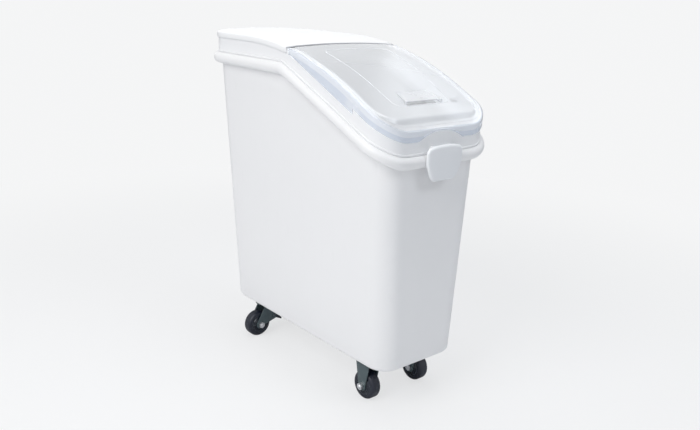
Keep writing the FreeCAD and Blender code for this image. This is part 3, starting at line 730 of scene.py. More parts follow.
class BIN_OT_body(PieceOperator, bpy.types.Operator):
    """Moulded tub with its rolled bead"""

    bl_idname = "ingredient_bin.body"
    bl_label = "Tub and bead"

    def build(self, sizes, finish):
        mouth = Mouth(sizes)
        columns = [self.section(sizes, mouth, station) for station in mouth.loop()]
        tub = seal(grid_sheet("tub", columns))
        dress(tub, finish["Tub white"], "white_body", "bin_body")

    def section(self, sizes, mouth, station):
        """Points from the middle of the underside, up the wall, over the bead and down to the inner floor."""
        height = sizes.tub_top - sizes.base_height
        corner = sizes.mouth_corner

        def wall_point(z, inset):
            share = (z - sizes.base_height) / height
            half_width = sizes.mouth_half_width - sizes.side_taper * (1.0 - share)
            lean = (sizes.front_taper + sizes.rear_taper) / 2.0 * (1.0 - share)
            half_length = sizes.mouth_half_length - lean
            centre_y = (sizes.front_taper - sizes.rear_taper) / 2.0 * (1.0 - share)
            core_x = (station.x - station.out_x * corner) * (half_width - corner) / mouth.core_x
            core_y = (station.y - station.out_y * corner) * (half_length - corner) / mouth.core_y
            reach = corner - inset
            return Vector((core_x + station.out_x * reach, centre_y + core_y + station.out_y * reach, z))

        foot = sizes.base_height
        edge = sizes.base_edge
        middle_y = (sizes.front_taper - sizes.rear_taper) / 2.0
        rows = [Vector((0.0, middle_y, foot))]
        rows.append(rows[0].lerp(wall_point(foot, edge), 0.5))
        rows += [wall_point(foot + edge + b, edge + a) for a, b in arc((0, 0), -edge, 90.0, 0.0, 6)]
        radius = sizes.bead_radius
        under = station.bead - radius
        fillet = mm(3.0)
        rows += [wall_point(lerp(foot + edge, under - fillet, i / 7.0), 0.0) for i in range(1, 8)]
        wall_top = wall_point(under, 0.0)
        wall_offset = (wall_top - station.at(0.0, under)).dot(Vector((station.out_x, station.out_y, 0.0)))
        for a, b in arc((wall_offset + fillet, under - fillet), fillet, 180.0, 90.0, 3)[1:]:
            rows.append(station.at(a, b))
        straight = sizes.bead_overhang - radius
        for a, b in arc((straight, station.bead), radius, -90.0, 90.0, 12):
            rows.append(station.at(a, b))
        top = station.bead + radius
        inside = wall_point(top, sizes.wall)
        inner_offset = (inside - station.at(0.0, top)).dot(Vector((station.out_x, station.out_y, 0.0)))
        soft = mm(1.5)
        for a, b in arc((inner_offset + soft, top - soft), soft, 90.0, 180.0, 3):
            rows.append(station.at(a, b))
        floor = foot + mm(10.0)
        inner_edge = mm(8.0)
        high, low = top - soft * 2.0, floor + inner_edge
        rows += [wall_point(lerp(high, low, i / 6.0), sizes.wall) for i in range(7)]
        for a, b in arc((inner_edge, inner_edge), inner_edge, 180.0, 270.0, 4)[1:]:
            rows.append(wall_point(floor + b, sizes.wall + a))
        inner_middle = Vector((0.0, middle_y, floor))
        rows.append(rows[-1].lerp(inner_middle, 0.5))
        rows.append(inner_middle)
        return rows


class BIN_OT_collar(PieceOperator, bpy.types.Operator):
    """Collar on the bead, with its spigot, snap slots and latch ears"""

    bl_idname = "ingredient_bin.collar"
    bl_label = "Collar"

    def build(self, sizes, finish):
        mouth = Mouth(sizes)
        collar = grid_sheet("collar", [self.section(sizes, station) for station in mouth.loop()])
        seal(collar)
        self.cut_slots(collar, sizes, mouth)
        ears = [self.ear(x) for x in (mm(-24.0), mm(24.0))]
        joined(collar, *ears)
        dress(collar, finish["Collar white"], "white_collar", "lid_collar")

    def section(self, sizes, station):
        """A closed section: foot, wall, ledge under the covers and spigot."""
        low = station.bead + sizes.bead_radius
        foot_top = low + mm(4.0)
        high = station.rim - mm(3.4)
        ledge_low = high - mm(2.5)
        soft, nick = mm(1.2), mm(0.4)
        outer, inner, foot, ledge = mm(6.0), mm(3.0), mm(8.0), mm(-8.0)
        spigot, spigot_inner, spigot_low = mm(-14.5), mm(-17.0), low - mm(12.0)
        corners = [(foot - mm(0.5), low)]
        corners += arc((foot - soft, foot_top - soft), soft, 0.0, 90.0, 3)
        corners += [(outer + mm(0.8), foot_top), (outer + mm(0.2), foot_top + mm(0.3))]
        corners += [(outer, foot_top + mm(1.0))]
        corners += [(outer, lerp(foot_top, high, share)) for share in (0.4, 0.75)]
        corners += [(outer, high - nick), (outer - nick, high), (ledge + nick, high), (ledge, high - nick)]
        corners += [(ledge, ledge_low + mm(0.3)), (ledge + mm(0.3), ledge_low), (inner, ledge_low)]
        corners += [(inner, lerp(ledge_low, foot_top, 0.5)), (inner, foot_top), (spigot_inner, foot_top)]
        corners += [(spigot_inner, spigot_low), (spigot, spigot_low), (spigot, low)]
        corners.append(corners[0])
        return [station.at(offset, z) for offset, z in corners]

    def cut_slots(self, collar, sizes, mouth):
        """Open slots that the lid's pivots snap into."""
        radius, slot_rear = mm(2.6), mm(-2.0)
        slot_top = mouth.hinge_z + mm(30.0)
        spots = arc((sizes.lid_rear, mouth.hinge_z), radius, 180.0, 360.0, 12)
        spots += [(slot_rear, mouth.hinge_z - mm(1.0)), (slot_rear, slot_top)]
        spots += [(sizes.lid_rear - radius, slot_top)]
        reach = sizes.mouth_half_width + mm(20.0)
        cutter = prism("slot_cutter", [Vector((-reach, y, z)) for y, z in spots], (reach * 2.0, 0, 0))
        modify(collar, "BOOLEAN", operation="DIFFERENCE", object=cutter, solver="EXACT")
        drop(cutter)

    def ear(self, x):
        """One ear for the latch's pin."""
        root, pin_z = mm(-287.5), LATCH_PIN[1]
        spots = [(root, pin_z + KNUCKLE_RADIUS)]
        spots += arc(LATCH_PIN, KNUCKLE_RADIUS, 90.0, 270.0, 10)
        spots += [(root, pin_z - KNUCKLE_RADIUS)]
        return bar("ear", spots, x - mm(3.0), mm(6.0), mm(0.6))


class BIN_OT_rear_cover(PieceOperator, bpy.types.Operator):
    """Fixed cover over the rear of the mouth"""

    bl_idname = "ingredient_bin.rear_cover"
    bl_label = "Rear cover"

    def build(self, sizes, finish):
        mouth = Mouth(sizes)
        left = [mouth.on_side(y) for y in spaced(0.0, mouth.core_y, 12)]
        left += [mouth.on_rear_corner(share) for share in spaced(1.0, 0.0, 10)]
        left += [mouth.on_rear(x) for x in spaced(-mouth.core_x, 0.0, 5)]
        path = left + [mouth.on_rear(0.0)] + [station.mirrored() for station in reversed(left)]
        columns = [self.section(sizes, mouth, station) for station in path]
        band = grid_sheet("rear_cap", columns)
        edge = [column[-1] for column in columns]
        top = inner_patch("rear_cap_top", edge, 20, mouth.panel)
        cover = joined(band, top)
        seal(cover)
        modify(cover, "SOLIDIFY", thickness=sizes.cover_skin, offset=-1.0, use_even_offset=True)
        dress(cover, finish["Cover white"], "white_cover", "rear_cover")

    def section(self, sizes, mouth, station):
        """Points from the lip's lower edge over the rounded edge on to the top."""
        lip = sizes.lip_outset
        soft = mm(3.6)
        edge = station.at(lip, 0.0)
        top = mouth.panel(edge.x, edge.y)
        rows = [station.at(lip - mm(0.3), station.rim - sizes.lip_depth)]
        rows.append(station.at(lip, station.rim - sizes.lip_depth + mm(0.6)))
        rows.append(station.at(lip, lerp(station.rim - sizes.lip_depth, top - soft, 0.5)))
        for a, b in arc((lip - soft, top - soft), soft, 0.0, 90.0, 5):
            rows.append(station.at(a, b))
        for offset in (-3.0, -8.0, -15.0):
            spot = station.at(mm(offset), 0.0)
            rows.append(Vector((spot.x, spot.y, mouth.panel(spot.x, spot.y))))
        return rows


class BIN_OT_clear_lid(PieceOperator, bpy.types.Operator):
    """Clear flip-up lid with lip, wings, finger arch, louver and pivots"""

    bl_idname = "ingredient_bin.clear_lid"
    bl_label = "Clear lid"

    wing_start = mm(-14.0)
    wing_step = mm(-203.0)
    louver_rear = mm(-207.0)
    louver_front = mm(-243.0)
    louver_rear_half = mm(40.0)
    louver_front_half = mm(48.0)

    def build(self, sizes, finish):
        mouth = Mouth(sizes)
        path, across = self.path(sizes, mouth)
        columns = [self.section(sizes, mouth, station) for station in path]
        lid = grid_sheet("lid", columns)
        edge = [column[-1] for column in columns]
        panel = inner_patch("lid_panel", edge, across, mouth.panel)
        joined(lid, panel)
        seal(lid)
        self.cut_louver(lid, mouth)
        modify(lid, "SOLIDIFY", thickness=sizes.lid_skin, offset=-1.0, use_even_offset=True)
        pivots = [self.pivot(sizes, mouth, side) for side in (-1, 1)]
        joined(lid, self.louver(mouth), self.ridge(mouth), *pivots)
        dress(lid, finish["Clear plastic"], "clear_lid", "clear_lid", angle=28.0)

    def path(self, sizes, mouth):
        """Stations from left to right round the front, with the skirt's depth, and the steps across."""
        sides = [sizes.lid_rear, self.wing_start - mm(0.01)]
        sides += spaced(mm(-28.0), self.wing_step, 9) + [self.wing_step, self.wing_step - mm(0.02)]
        sides += [mm(-222.0)]
        left = [mouth.on_side(y) for y in sides]
        corner = [mouth.on_front_corner(share) for share in spaced(0.0, 1.0, 14)]
        foot = sizes.arch_half_width
        xs = spaced(-mouth.core_x, -foot, 5) + spaced(-foot, 0.0, 10)
        front = [mouth.on_front(x) for x in xs]
        half = left + corner + front
        across = 2 * (len(front) + len(corner) // 2)
        arch_radius = (foot**2 + sizes.arch_rise**2) / (2.0 * sizes.arch_rise)
        start_z = mouth.rim.side(self.wing_start) - sizes.lip_depth
        step_z = mouth.rim.side(self.wing_step) - sizes.wing_depth
        stations = half + [mouth.on_front(0.0)]
        for i, station in enumerate(stations):
            station.depth = sizes.skirt_depth
            if i < len(left) and station.y >= self.wing_step:
                share = (self.wing_start - station.y) / (self.wing_start - self.wing_step)
                wing = station.rim - lerp(start_z, step_z, max(0.0, share))
                station.depth = max(sizes.lip_depth + mm(0.2), wing)
            if i >= len(left) + len(corner) and abs(station.x) < foot:
                arch_top = station.rim - sizes.skirt_depth + sizes.arch_rise
                arch_z = arch_top - arch_radius + math.sqrt(arch_radius**2 - station.x**2)
                station.depth = station.rim - arch_z
        return stations + [station.mirrored() for station in reversed(half)], across

    def section(self, sizes, mouth, station):
        """Points from the skirt's lower edge over the lip and flange to the edge of the panel."""
        rim, depth = station.rim, station.depth
        share = min(1.0, depth / (sizes.lip_depth + mm(1.5)))
        lip, skirt = sizes.lip_outset, sizes.lip_outset - mm(0.6)
        lip_low = sizes.lip_depth * share
        soft = mm(2.6) * max(share, 0.6)
        rows = [(skirt - mm(0.2), rim - depth), (skirt, rim - lerp(depth, lip_low, 0.12))]
        rows += [(skirt, rim - lerp(depth, lip_low, 0.9)), (lip, rim - lip_low + mm(0.5) * share)]
        rows += [(lip, rim - lerp(lip_low, soft, 0.5))]
        rows += arc((lip - soft, rim - soft), soft, 0.0, 90.0, 4)
        for offset, dip in ((1.4, 0.0), (1.0, 0.45), (0.6, 0.45), (0.2, 0.0), (-4.0, 0.0)):
            rows.append((mm(offset), self.flange(sizes, station, mm(offset)) - mm(dip)))
        points = [station.at(offset, z) for offset, z in rows]
        shoulder = ((-5.0, 0.04), (-5.8, 0.16), (-6.8, 0.5), (-7.8, 0.84), (-8.8, 0.96), (-11.5, 1.0))
        for offset, rise in shoulder:
            spot = station.at(mm(offset), 0.0)
            low, high = self.flange(sizes, station, mm(offset)), mouth.panel(spot.x, spot.y)
            points.append(Vector((spot.x, spot.y, lerp(low, high, rise))))
        return points

    def flange(self, sizes, station, offset):
        """Height of the flange, which slopes up from the lip to its inner edge at the front."""
        lip, inner = sizes.lip_outset, mm(-12.0)
        return lerp(station.rim, station.flange, (lip - offset) / (lip - inner))

    def cut_louver(self, lid, mouth):
        """Cuts the opening under the louver's hood out of the panel."""
        rear, front = self.louver_rear - mm(2.0), self.louver_front
        rear_half, front_half = self.louver_rear_half - mm(2.0), self.louver_front_half - mm(2.0)
        lean = Vector((front_half - rear_half, front - rear, 0.0)).normalized()
        cuts = [(Vector((0.0, rear, 0.0)), Vector((0.0, 1.0, 0.0)))]
        cuts += [(Vector((0.0, front, 0.0)), Vector((0.0, 1.0, 0.0)))]
        for side in (-1.0, 1.0):
            normal = Vector((lean.y * side, -lean.x, 0.0))
            cuts.append((Vector((rear_half * side, rear, 0.0)), normal))
        hold(lid)
        bpy.ops.object.mode_set(mode="EDIT")
        bpy.ops.mesh.select_mode(type="FACE")
        margin = mm(26.0)

        def near(face):
            spot = face.calc_center_median()
            inside = abs(spot.x) < front_half + margin and front - margin < spot.y < rear + margin
            return inside and face.normal.z > 0.6 and abs(spot.z - mouth.panel(spot.x, spot.y)) < mm(0.6)

        def within(face):
            spot = face.calc_center_median()
            share = (spot.y - rear) / (front - rear)
            return near(face) and 0.0 < share < 1.0 and abs(spot.x) < lerp(rear_half, front_half, share)

        for point, normal in cuts:
            self.pick(lid, near)
            bpy.ops.mesh.bisect(plane_co=point, plane_no=normal, use_fill=False)
        self.pick(lid, within)
        bpy.ops.mesh.delete(type="FACE")
        bpy.ops.object.mode_set(mode="OBJECT")

    def pick(self, piece, test):
        """Selects the faces that pass a test."""
        mesh = bmesh.from_edit_mesh(piece.data)
        mesh.normal_update()
        for face in mesh.faces:
            face.select_set(False)
        for face in mesh.faces:
            if test(face):
                face.select_set(True)
        bmesh.update_edit_mesh(piece.data)

    def louver(self, mouth):
        """Hood that rises from the panel to an open front."""
        rear_top = mouth.panel(0.0, self.louver_rear) + mm(1.0)
        front_top = mouth.panel(0.0, self.louver_front) + mm(7.0)
        soft = mm(1.6)
        columns = [[] for i in range(17)]
        for row, share in enumerate((0.0, 0.0, 0.03, 0.25, 0.5, 0.75, 0.97, 1.0)):
            y = lerp(self.louver_rear, self.louver_front, share)
            half = lerp(self.louver_rear_half, self.louver_front_half, share)
            top = lerp(rear_top, front_top, share)
            inner = half - soft
            xs = [-half, -half, -half + soft * 0.3] + [lerp(-inner, inner, i / 10.0) for i in range(11)]
            xs += [half - soft * 0.3, half, half]
            for i, x in enumerate(xs):
                foot = mouth.panel(x, y) - mm(0.6)
                edge = min(i, 16 - i)
                height = top - {1: soft, 2: soft * 0.3}.get(edge, 0.0)
                if edge == 0 or row == 0:
                    height = foot
                columns[i].append(Vector((x, y, max(height, foot))))
        hood = seal(grid_sheet("hood", columns))
        return modify(hood, "SOLIDIFY", thickness=mm(1.8), offset=-1.0, use_even_offset=True)

    def ridge(self, mouth):
        """Fine raised line round the panel's field, from one side of the louver to the other."""
        rear, front = mm(-38.0), self.louver_front
        corners = [(mm(-72.0), front), (mm(-84.0), rear), (mm(84.0), rear), (mm(72.0), front)]
        bends = rounded(corners, [mm(r) for r in (16.0, 20.0, 20.0, 16.0)], 8)
        bends = [Vector((mm(-49.0), front))] + bends + [Vector((mm(49.0), front))]
        path = []
        for spot, following in zip(bends, bends[1:]):
            steps = max(1, round((following - spot).length / mm(7.0)))
            path += [spot.lerp(following, k / steps) for k in range(steps)]
        path.append(bends[-1])
        section = ((-0.9, -0.4), (-0.5, 0.35), (0.0, 0.55), (0.5, 0.35), (0.9, -0.4), (-0.9, -0.4))
        columns = []
        for i, spot in enumerate(path):
            along = (path[min(i + 1, len(path) - 1)] - path[max(i - 1, 0)]).normalized()
            column = []
            for aside, rise in section:
                x, y = spot.x - along.y * mm(aside), spot.y + along.x * mm(aside)
                column.append(Vector((x, y, mouth.panel(x, y) + mm(rise))))
            columns.append(column)
        columns = [columns[0][:1] * len(section)] + columns + [columns[-1][:1] * len(section)]
        return seal(grid_sheet("ridge", columns))

    def pivot(self, sizes, mouth, side):
        """Boss and peg that the lid turns on."""
        inner, step = sizes.mouth_half_width + mm(3.0), sizes.mouth_half_width + mm(6.4)
        outer = sizes.mouth_half_width + sizes.lip_outset
        soft, thin, thick = mm(0.4), mm(2.5), HINGE_DROP
        section = [(inner, 0.0), (inner, thin - soft), (inner + soft, thin), (step, thin), (step, thick)]
        section += [(outer - soft, thick), (outer, thick - soft), (outer, 0.0)]
        peg = turned("peg", section, 32)
        turn = Matrix.Identity(4) if side > 0 else Matrix.Rotation(math.pi, 4, "Z")
        peg.data.transform(Matrix.Translation((0.0, sizes.lid_rear, mouth.hinge_z)) @ turn)
        return peg


class BIN_OT_latch(PieceOperator, bpy.types.Operator):
    """Shield-shaped latch with its knuckle and hook, and its pin"""

    bl_idname = "ingredient_bin.latch"
    bl_label = "Front latch"

    back = mm(-300.5)
    face = mm(-307.5)

    def build(self, sizes, finish):
        latch = self.shield()
        root, pin_z = self.back - mm(1.0), LATCH_PIN[1]
        knuckle = [(root, pin_z + KNUCKLE_RADIUS)]
        knuckle += arc(LATCH_PIN, KNUCKLE_RADIUS, 90.0, -90.0, 12)
        knuckle += [(root, pin_z - mm(5.0))]
        half = mm(20.6)
        arm = bar("arm", knuckle, -half, half * 2.0, mm(0.6))
        tip, high = mm(-289.6), sizes.bead_front - sizes.bead_radius - mm(0.35)
        low = high - mm(3.9)
        spots = [(root, high), (tip, high), (tip, high - mm(2.4)), (mm(-291.0), low), (root, low)]
        half = mm(22.0)
        hook = bar("hook", spots, -half, half * 2.0, mm(0.6))
        joined(latch, arm, hook)
        dress(latch, finish["Latch white with painted shade"], "white_latch", "front_latch", angle=50.0)
        paint(finish["Zinc plate"], "latch_pin")

    def shield(self):
        """Pillowed plate: a bowed top, upright shoulders and a foot with large round corners."""
        top, waist, low, bow = mm(534.0), mm(507.0), mm(473.0), mm(6.0)
        half, foot = mm(46.0), mm(32.0)
        corners = [(-half, top), (half, top), (half, waist), (foot, low), (-foot, low), (-half, waist)]
        radii = [mm(r) for r in (9.0, 9.0, 22.0, 20.0, 20.0, 22.0)]
        outline = []
        dense = rounded(corners, radii, 8)
        for i, spot in enumerate(dense):
            following = dense[(i + 1) % len(dense)]
            steps = max(1, round((following - spot).length / mm(8.0)))
            outline += [spot.lerp(following, k / steps) for k in range(steps)]
        middle_z = (top + low) / 2.0
        columns = []
        count = len(outline)
        for i in range(count + 1):
            spot = outline[i % count]
            along = (outline[(i + 1) % count] - outline[i - 1 if i % count else count - 1]).normalized()
            inward = Vector((along.y, -along.x))
            columns.append(self.shield_rows(spot, inward, middle_z))
        for column in columns:
            for point in column:
                share = min(1.0, max(0.0, (point.z - middle_z) / (top - middle_z)))
                point.z += bow * (1.0 - min(1.0, abs(point.x) / half) ** 3) * share
        return seal(grid_sheet("shield", columns))

    def shield_rows(self, spot, inward, middle_z):
        """Points from the middle of the back, round the edge, to the middle of the face."""
        soft, back_soft = mm(5.0), mm(1.0)

        def row(inset, y):
            place = spot + inward * inset
            return Vector((place.x, y, place.y))

        back_middle = Vector((0.0, self.back, middle_z))
        rows = [back_middle, back_middle.lerp(row(mm(4.0), self.back), 0.6), row(back_soft, self.back)]
        rows.append(row(0.0, self.back - back_soft))
        edge_y = self.face + mm(1.3)
        for a, b in arc((soft, edge_y + soft), -soft, 0.0, 90.0, 6):
            rows.append(row(a, b))
        centre = Vector((0.0, self.face, middle_z))
        rim = row(soft, edge_y)
        for share in (0.12, 0.3, 0.5, 0.7, 0.88, 1.0):
            point = rim.lerp(centre, share)
            point.y = lerp(edge_y, self.face, 1.0 - (1.0 - share) ** 2)
            rows.append(point)
        return rows


FRONT_CASTER = (mm(68.0), mm(-197.0))
REAR_CASTER = (mm(61.5), mm(183.0))
TRAIL = mm(24.0)
BOSS_RADIUS = mm(10.5)
FORK_GAP = mm(27.2)
FORK_SKIN = mm(2.5)
FORK_FACE = FORK_GAP / 2.0 + FORK_SKIN
PLATE_LOW = mm(87.5)
NUT_HEIGHT = mm(6.5)


def caster_places():
    """Place and turn of the four casters, by name."""

    def place(side, spot, turn):
        return Matrix.Translation((side * spot[0], spot[1], 0.0)) @ Matrix.Rotation(turn, 4, "Z")

    return {
        "front_left": place(-1, FRONT_CASTER, 0.0),
        "front_right": place(1, FRONT_CASTER, math.pi),
        "rear_left": place(-1, REAR_CASTER, math.pi / 2.0),
        "rear_right": place(1, REAR_CASTER, -math.pi / 2.0),
    }


def axle_place(label, sizes):
    """Place of a caster's axle pieces, which are modelled about the X axis."""
    trail = TRAIL if label.startswith("rear") else 0.0
    return caster_places()[label] @ Matrix.Translation((0.0, trail, sizes.wheel_radius))


class BIN_OT_wheels(PieceOperator, bpy.types.Operator):
    """Tyres and ringed hubs of the four casters"""

    bl_idname = "ingredient_bin.wheels"
    bl_label = "Wheels"

    def build(self, sizes, finish):
        tyre, hub = self.tyre(sizes), self.hub(sizes)
        for label in caster_places():
            place = axle_place(label, sizes)
            copy = copy_at(tyre, label + "_tread", place)
            dress(copy, finish["Tread rubber"], "dark_tread", label + "_tyre")
            copy = copy_at(hub, label + "_hub", place)
            dress(copy, finish["Hub plastic"], "dark_plastic", label + "_wheel_core")
            paint(finish["Zinc plate"], label + "_axle_sleeve")
        drop(tyre, hub)

    def tyre(self, sizes):
        """Tread with round shoulders and a fine line each side of its face."""
        half, soft = sizes.tyre_width / 2.0, mm(6.0)
        inner, outer = sizes.wheel_radius - mm(8.0), sizes.wheel_radius
        section = [(-half + mm(0.4), inner), (-half, inner + mm(0.4))]
        section += arc((soft - half, outer - soft), soft, 180.0, 100.0, 7)
        section += [(-mm(5.0), outer - mm(0.02)), (-mm(4.7), outer - mm(0.4)), (-mm(4.3), outer - mm(0.4))]
        section += [(-mm(4.0), outer)]
        section += [(-x, radius) for x, radius in reversed(section)]
        return turned("tyre", section, 96)

    def hub(self, sizes):
        """Hub with a boss and three raised rings on each face."""
        half, face, slope, wide = mm(13.0), mm(11.6), mm(0.5), mm(0.8)
        section = [(half - slope, mm(5.6)), (half, mm(5.9)), (half, mm(7.5)), (face, mm(7.9))]
        for radius in (mm(10.5), mm(14.0), mm(17.5)):
            low, high = radius - wide, radius + wide
            section += [(face, low - slope), (half - slope, low), (half, low + slope)]
            section += [(half, high - slope), (half - slope, high), (face, high + slope)]
        section += [(face, mm(21.0)), (face - slope, mm(22.0))]
        section += [(-x, radius) for x, radius in reversed(section)]
        return turned("hub", section, 72)


class BIN_OT_axles(PieceOperator, bpy.types.Operator):
    """Axle bolts with threaded ends and hex nuts"""

    bl_idname = "ingredient_bin.axles"
    bl_label = "Axles"

    def build(self, sizes, finish):
        head = self.hexagon("head", FORK_FACE, FORK_FACE + mm(5.0), 0.0)
        bolt = joined(self.shank(), head)
        nut = self.hexagon("nut", -FORK_FACE, -FORK_FACE - NUT_HEIGHT, mm(3.9))
        for label in caster_places():
            place = axle_place(label, sizes)
            copy = copy_at(bolt, label + "_bolt", place)
            dress(copy, finish["Zinc plate"], "zinc_steel", label + "_axle_bolt")
            copy = copy_at(nut, label + "_nut", place)
            dress(copy, finish["Zinc plate"], "zinc_steel", label + "_axle_nut")
        drop(bolt, nut)

    def hexagon(self, name, near, far, bore):
        """Hexagon across 13 mm with its outer corners chamfered, with or without a bore."""
        apothem = mm(6.5)
        steps = 72
        columns = []
        toward = 1.0 if far > near else -1.0
        for i in range(steps + 1):
            angle = math.tau * i / steps
            flat = apothem / math.cos((angle + math.pi / 6.0) % (math.pi / 3.0) - math.pi / 6.0)
            inner = mm(6.35)
            slope = mm(0.62) * max(0.0, flat - inner) / mm(1.0)
            profile = [(near, bore), (near, flat), (far - toward * slope, flat), (far, min(flat, inner))]
            profile += [(far, max(bore, mm(4.6))), (far - toward * mm(0.5), bore)]
            if bore:
                profile.append((near, bore))
            columns.append([Vector((x, r * math.cos(angle), r * math.sin(angle))) for x, r in profile])
        return seal(grid_sheet(name, columns))

    def shank(self):
        """Shank with a few turns of thread at its end."""
        end = -FORK_FACE - NUT_HEIGHT - mm(2.0)
        radius, root, pitch = mm(4.0), mm(3.5), mm(1.0)
        section = [(FORK_FACE, 0.0), (FORK_FACE, radius), (-FORK_FACE - mm(5.0), radius)]
        start = -FORK_FACE - mm(5.2)
        while start - pitch > end:
            section += [(start, root), (start - pitch * 0.5, radius)]
            start -= pitch
        section += [(end + mm(0.3), root), (end, root - mm(0.4)), (end, 0.0)]
        return turned("shank", section, 40)


class BIN_OT_front_brackets(PieceOperator, bpy.types.Operator):
    """Fixed brackets of the two front casters"""

    bl_idname = "ingredient_bin.front_brackets"
    bl_label = "Front brackets"

    def build(self, sizes, finish):
        bracket = caster_plate()
        top = PLATE_LOW + mm(0.5)
        for side in (-1, 1):
            spots = [(mm(-21.0), top), (mm(21.0), top)]
            spots += arc((0.0, sizes.wheel_radius), BOSS_RADIUS, 10.0, -190.0, 18)
            joined(bracket, fork_leg(side, spots))
            joined(bracket, self.bend(side))
        for label in ("front_left", "front_right"):
            copy = copy_at(bracket, label + "_fork", caster_places()[label])
            dress(copy, finish["Steel paint and painted reflection"], "dark_painted_steel", label + "_bracket")
        drop(bracket)

    def bend(self, side):
        """Rounded inside of the fold between plate and leg."""
        inner = side * FORK_FACE
        fold = mm(3.0)
        spots = [(inner - side * mm(0.5), PLATE_LOW + mm(0.4))]
        spots += [(inner + side * (fold - fold * math.cos(a)), PLATE_LOW - fold + fold * math.sin(a))
                  for a in (math.radians(k * 15.0) for k in range(7))]
        spots += [(inner + side * fold, PLATE_LOW + mm(0.4))]
        half = mm(17.0)
        points = [Vector((x, -half, z)) for x, z in spots]
        return slab("fold", points, (0, half * 2.0, 0), mm(0.3))


def fork_leg(side, spots):
    """One leg of a bracket or fork, with a (y, z) outline."""
    return bar("leg", spots, side * FORK_GAP / 2.0, side * FORK_SKIN, mm(0.8), 3)


def caster_plate():
    """Top plate with rounded corners, about the caster's own centre."""
    half_width, half_length = mm(26.0), mm(35.0)
    corners = [(-half_width, half_length), (half_width, half_length), (half_width, -half_length)]
    corners.append((-half_width, -half_length))
    outline = rounded(corners, [mm(6.0)] * 4, 6)
    points = [Vector((spot.x, spot.y, PLATE_LOW)) for spot in outline]
    return slab("plate", points, (0, 0, mm(2.5)), mm(0.5))


class BIN_OT_rear_forks(PieceOperator, bpy.types.Operator):
    """Swivelling forks, races, king pins and top plates of the rear casters"""

    bl_idname = "ingredient_bin.rear_forks"
    bl_label = "Rear forks"

    def build(self, sizes, finish):
        fork, plate = self.fork(sizes), caster_plate()
        for label in ("rear_left", "rear_right"):
            place = caster_places()[label]
            copy = copy_at(fork, label + "_yoke", place)
            dress(copy, finish["Steel paint and painted reflection"], "dark_painted_steel", label + "_fork")
            copy = copy_at(plate, label + "_mounting_plate", caster_flat(label))
            dress(copy, finish["Steel paint and painted reflection"], "dark_painted_steel", label + "_top_plate")
            paint(finish["Steel paint and painted reflection"], label + "_ball_race")
            paint(finish["Zinc plate"], label + "_king_pin", label + "_pedal_pin")
        drop(fork, plate)

    def fork(self, sizes):
        """Crown and two legs that trail to the axle."""
        top = mm(79.7)
        low = top - mm(3.0)
        setback, reach, half = mm(-20.0), mm(8.0), FORK_FACE
        spots = [(reach, half), (reach, -half), (setback, -half), (setback, half)]
        bridge = slab("bridge", [Vector((x, y, low)) for y, x in spots], (0, 0, top - low), mm(0.8), 3)
        disc = [Vector((a, b, low)) for a, b in arc((0.0, 0.0), mm(24.0), 0.0, 352.5, 47)]
        crown = slab("crown", disc, (0, 0, top - low), mm(1.2), 3)
        joined(crown, bridge)
        for side in (-1, 1):
            spots = [(setback, top), (reach, top)]
            spots += arc((TRAIL, sizes.wheel_radius), BOSS_RADIUS, 25.0, -160.0, 16)
            spots += [(setback, mm(37.0))]
            joined(crown, fork_leg(side, spots))
        return crown


def caster_flat(label):
    """Place of a rear caster without its turn."""
    return Matrix.Translation(caster_places()[label].to_translation())


class BIN_OT_pedals(PieceOperator, bpy.types.Operator):
    """Brake pedals of the rear casters"""

    bl_idname = "ingredient_bin.pedals"
    bl_label = "Brake pedals"

    def build(self, sizes, finish):
        half = FORK_GAP / 2.0 - mm(0.8)
        y, z = mm(-13.0), mm(44.0)
        eye = mm(4.5)
        end_y, end_z = y - mm(25.5), z - mm(16.0)
        spots = arc((y, z), eye, 90.0, -60.0, 8)
        spots += [(y - mm(5.0), z - mm(7.0)), (end_y + mm(1.0), end_z), (end_y, end_z + mm(1.2))]
        spots += [(end_y + mm(0.6), end_z + mm(4.0)), (y - mm(11.0), z + mm(2.7))]
        pad = bar("pad", spots, -half, half * 2.0, mm(1.0), 3)
        shoe_spots = [(y - eye, z), (y + eye, z), (y + mm(1.0), z - mm(11.0)), (y - mm(5.0), z - mm(11.0))]
        shoe = bar("shoe", shoe_spots, -half, half * 2.0, mm(0.8))
        joined(pad, shoe)
        for label in ("rear_left", "rear_right"):
            copy = copy_at(pad, label + "_pedal", caster_places()[label])
            dress(copy, finish["Pedal plastic"], "pedal_plastic", label + "_brake_pedal")
        drop(pad)


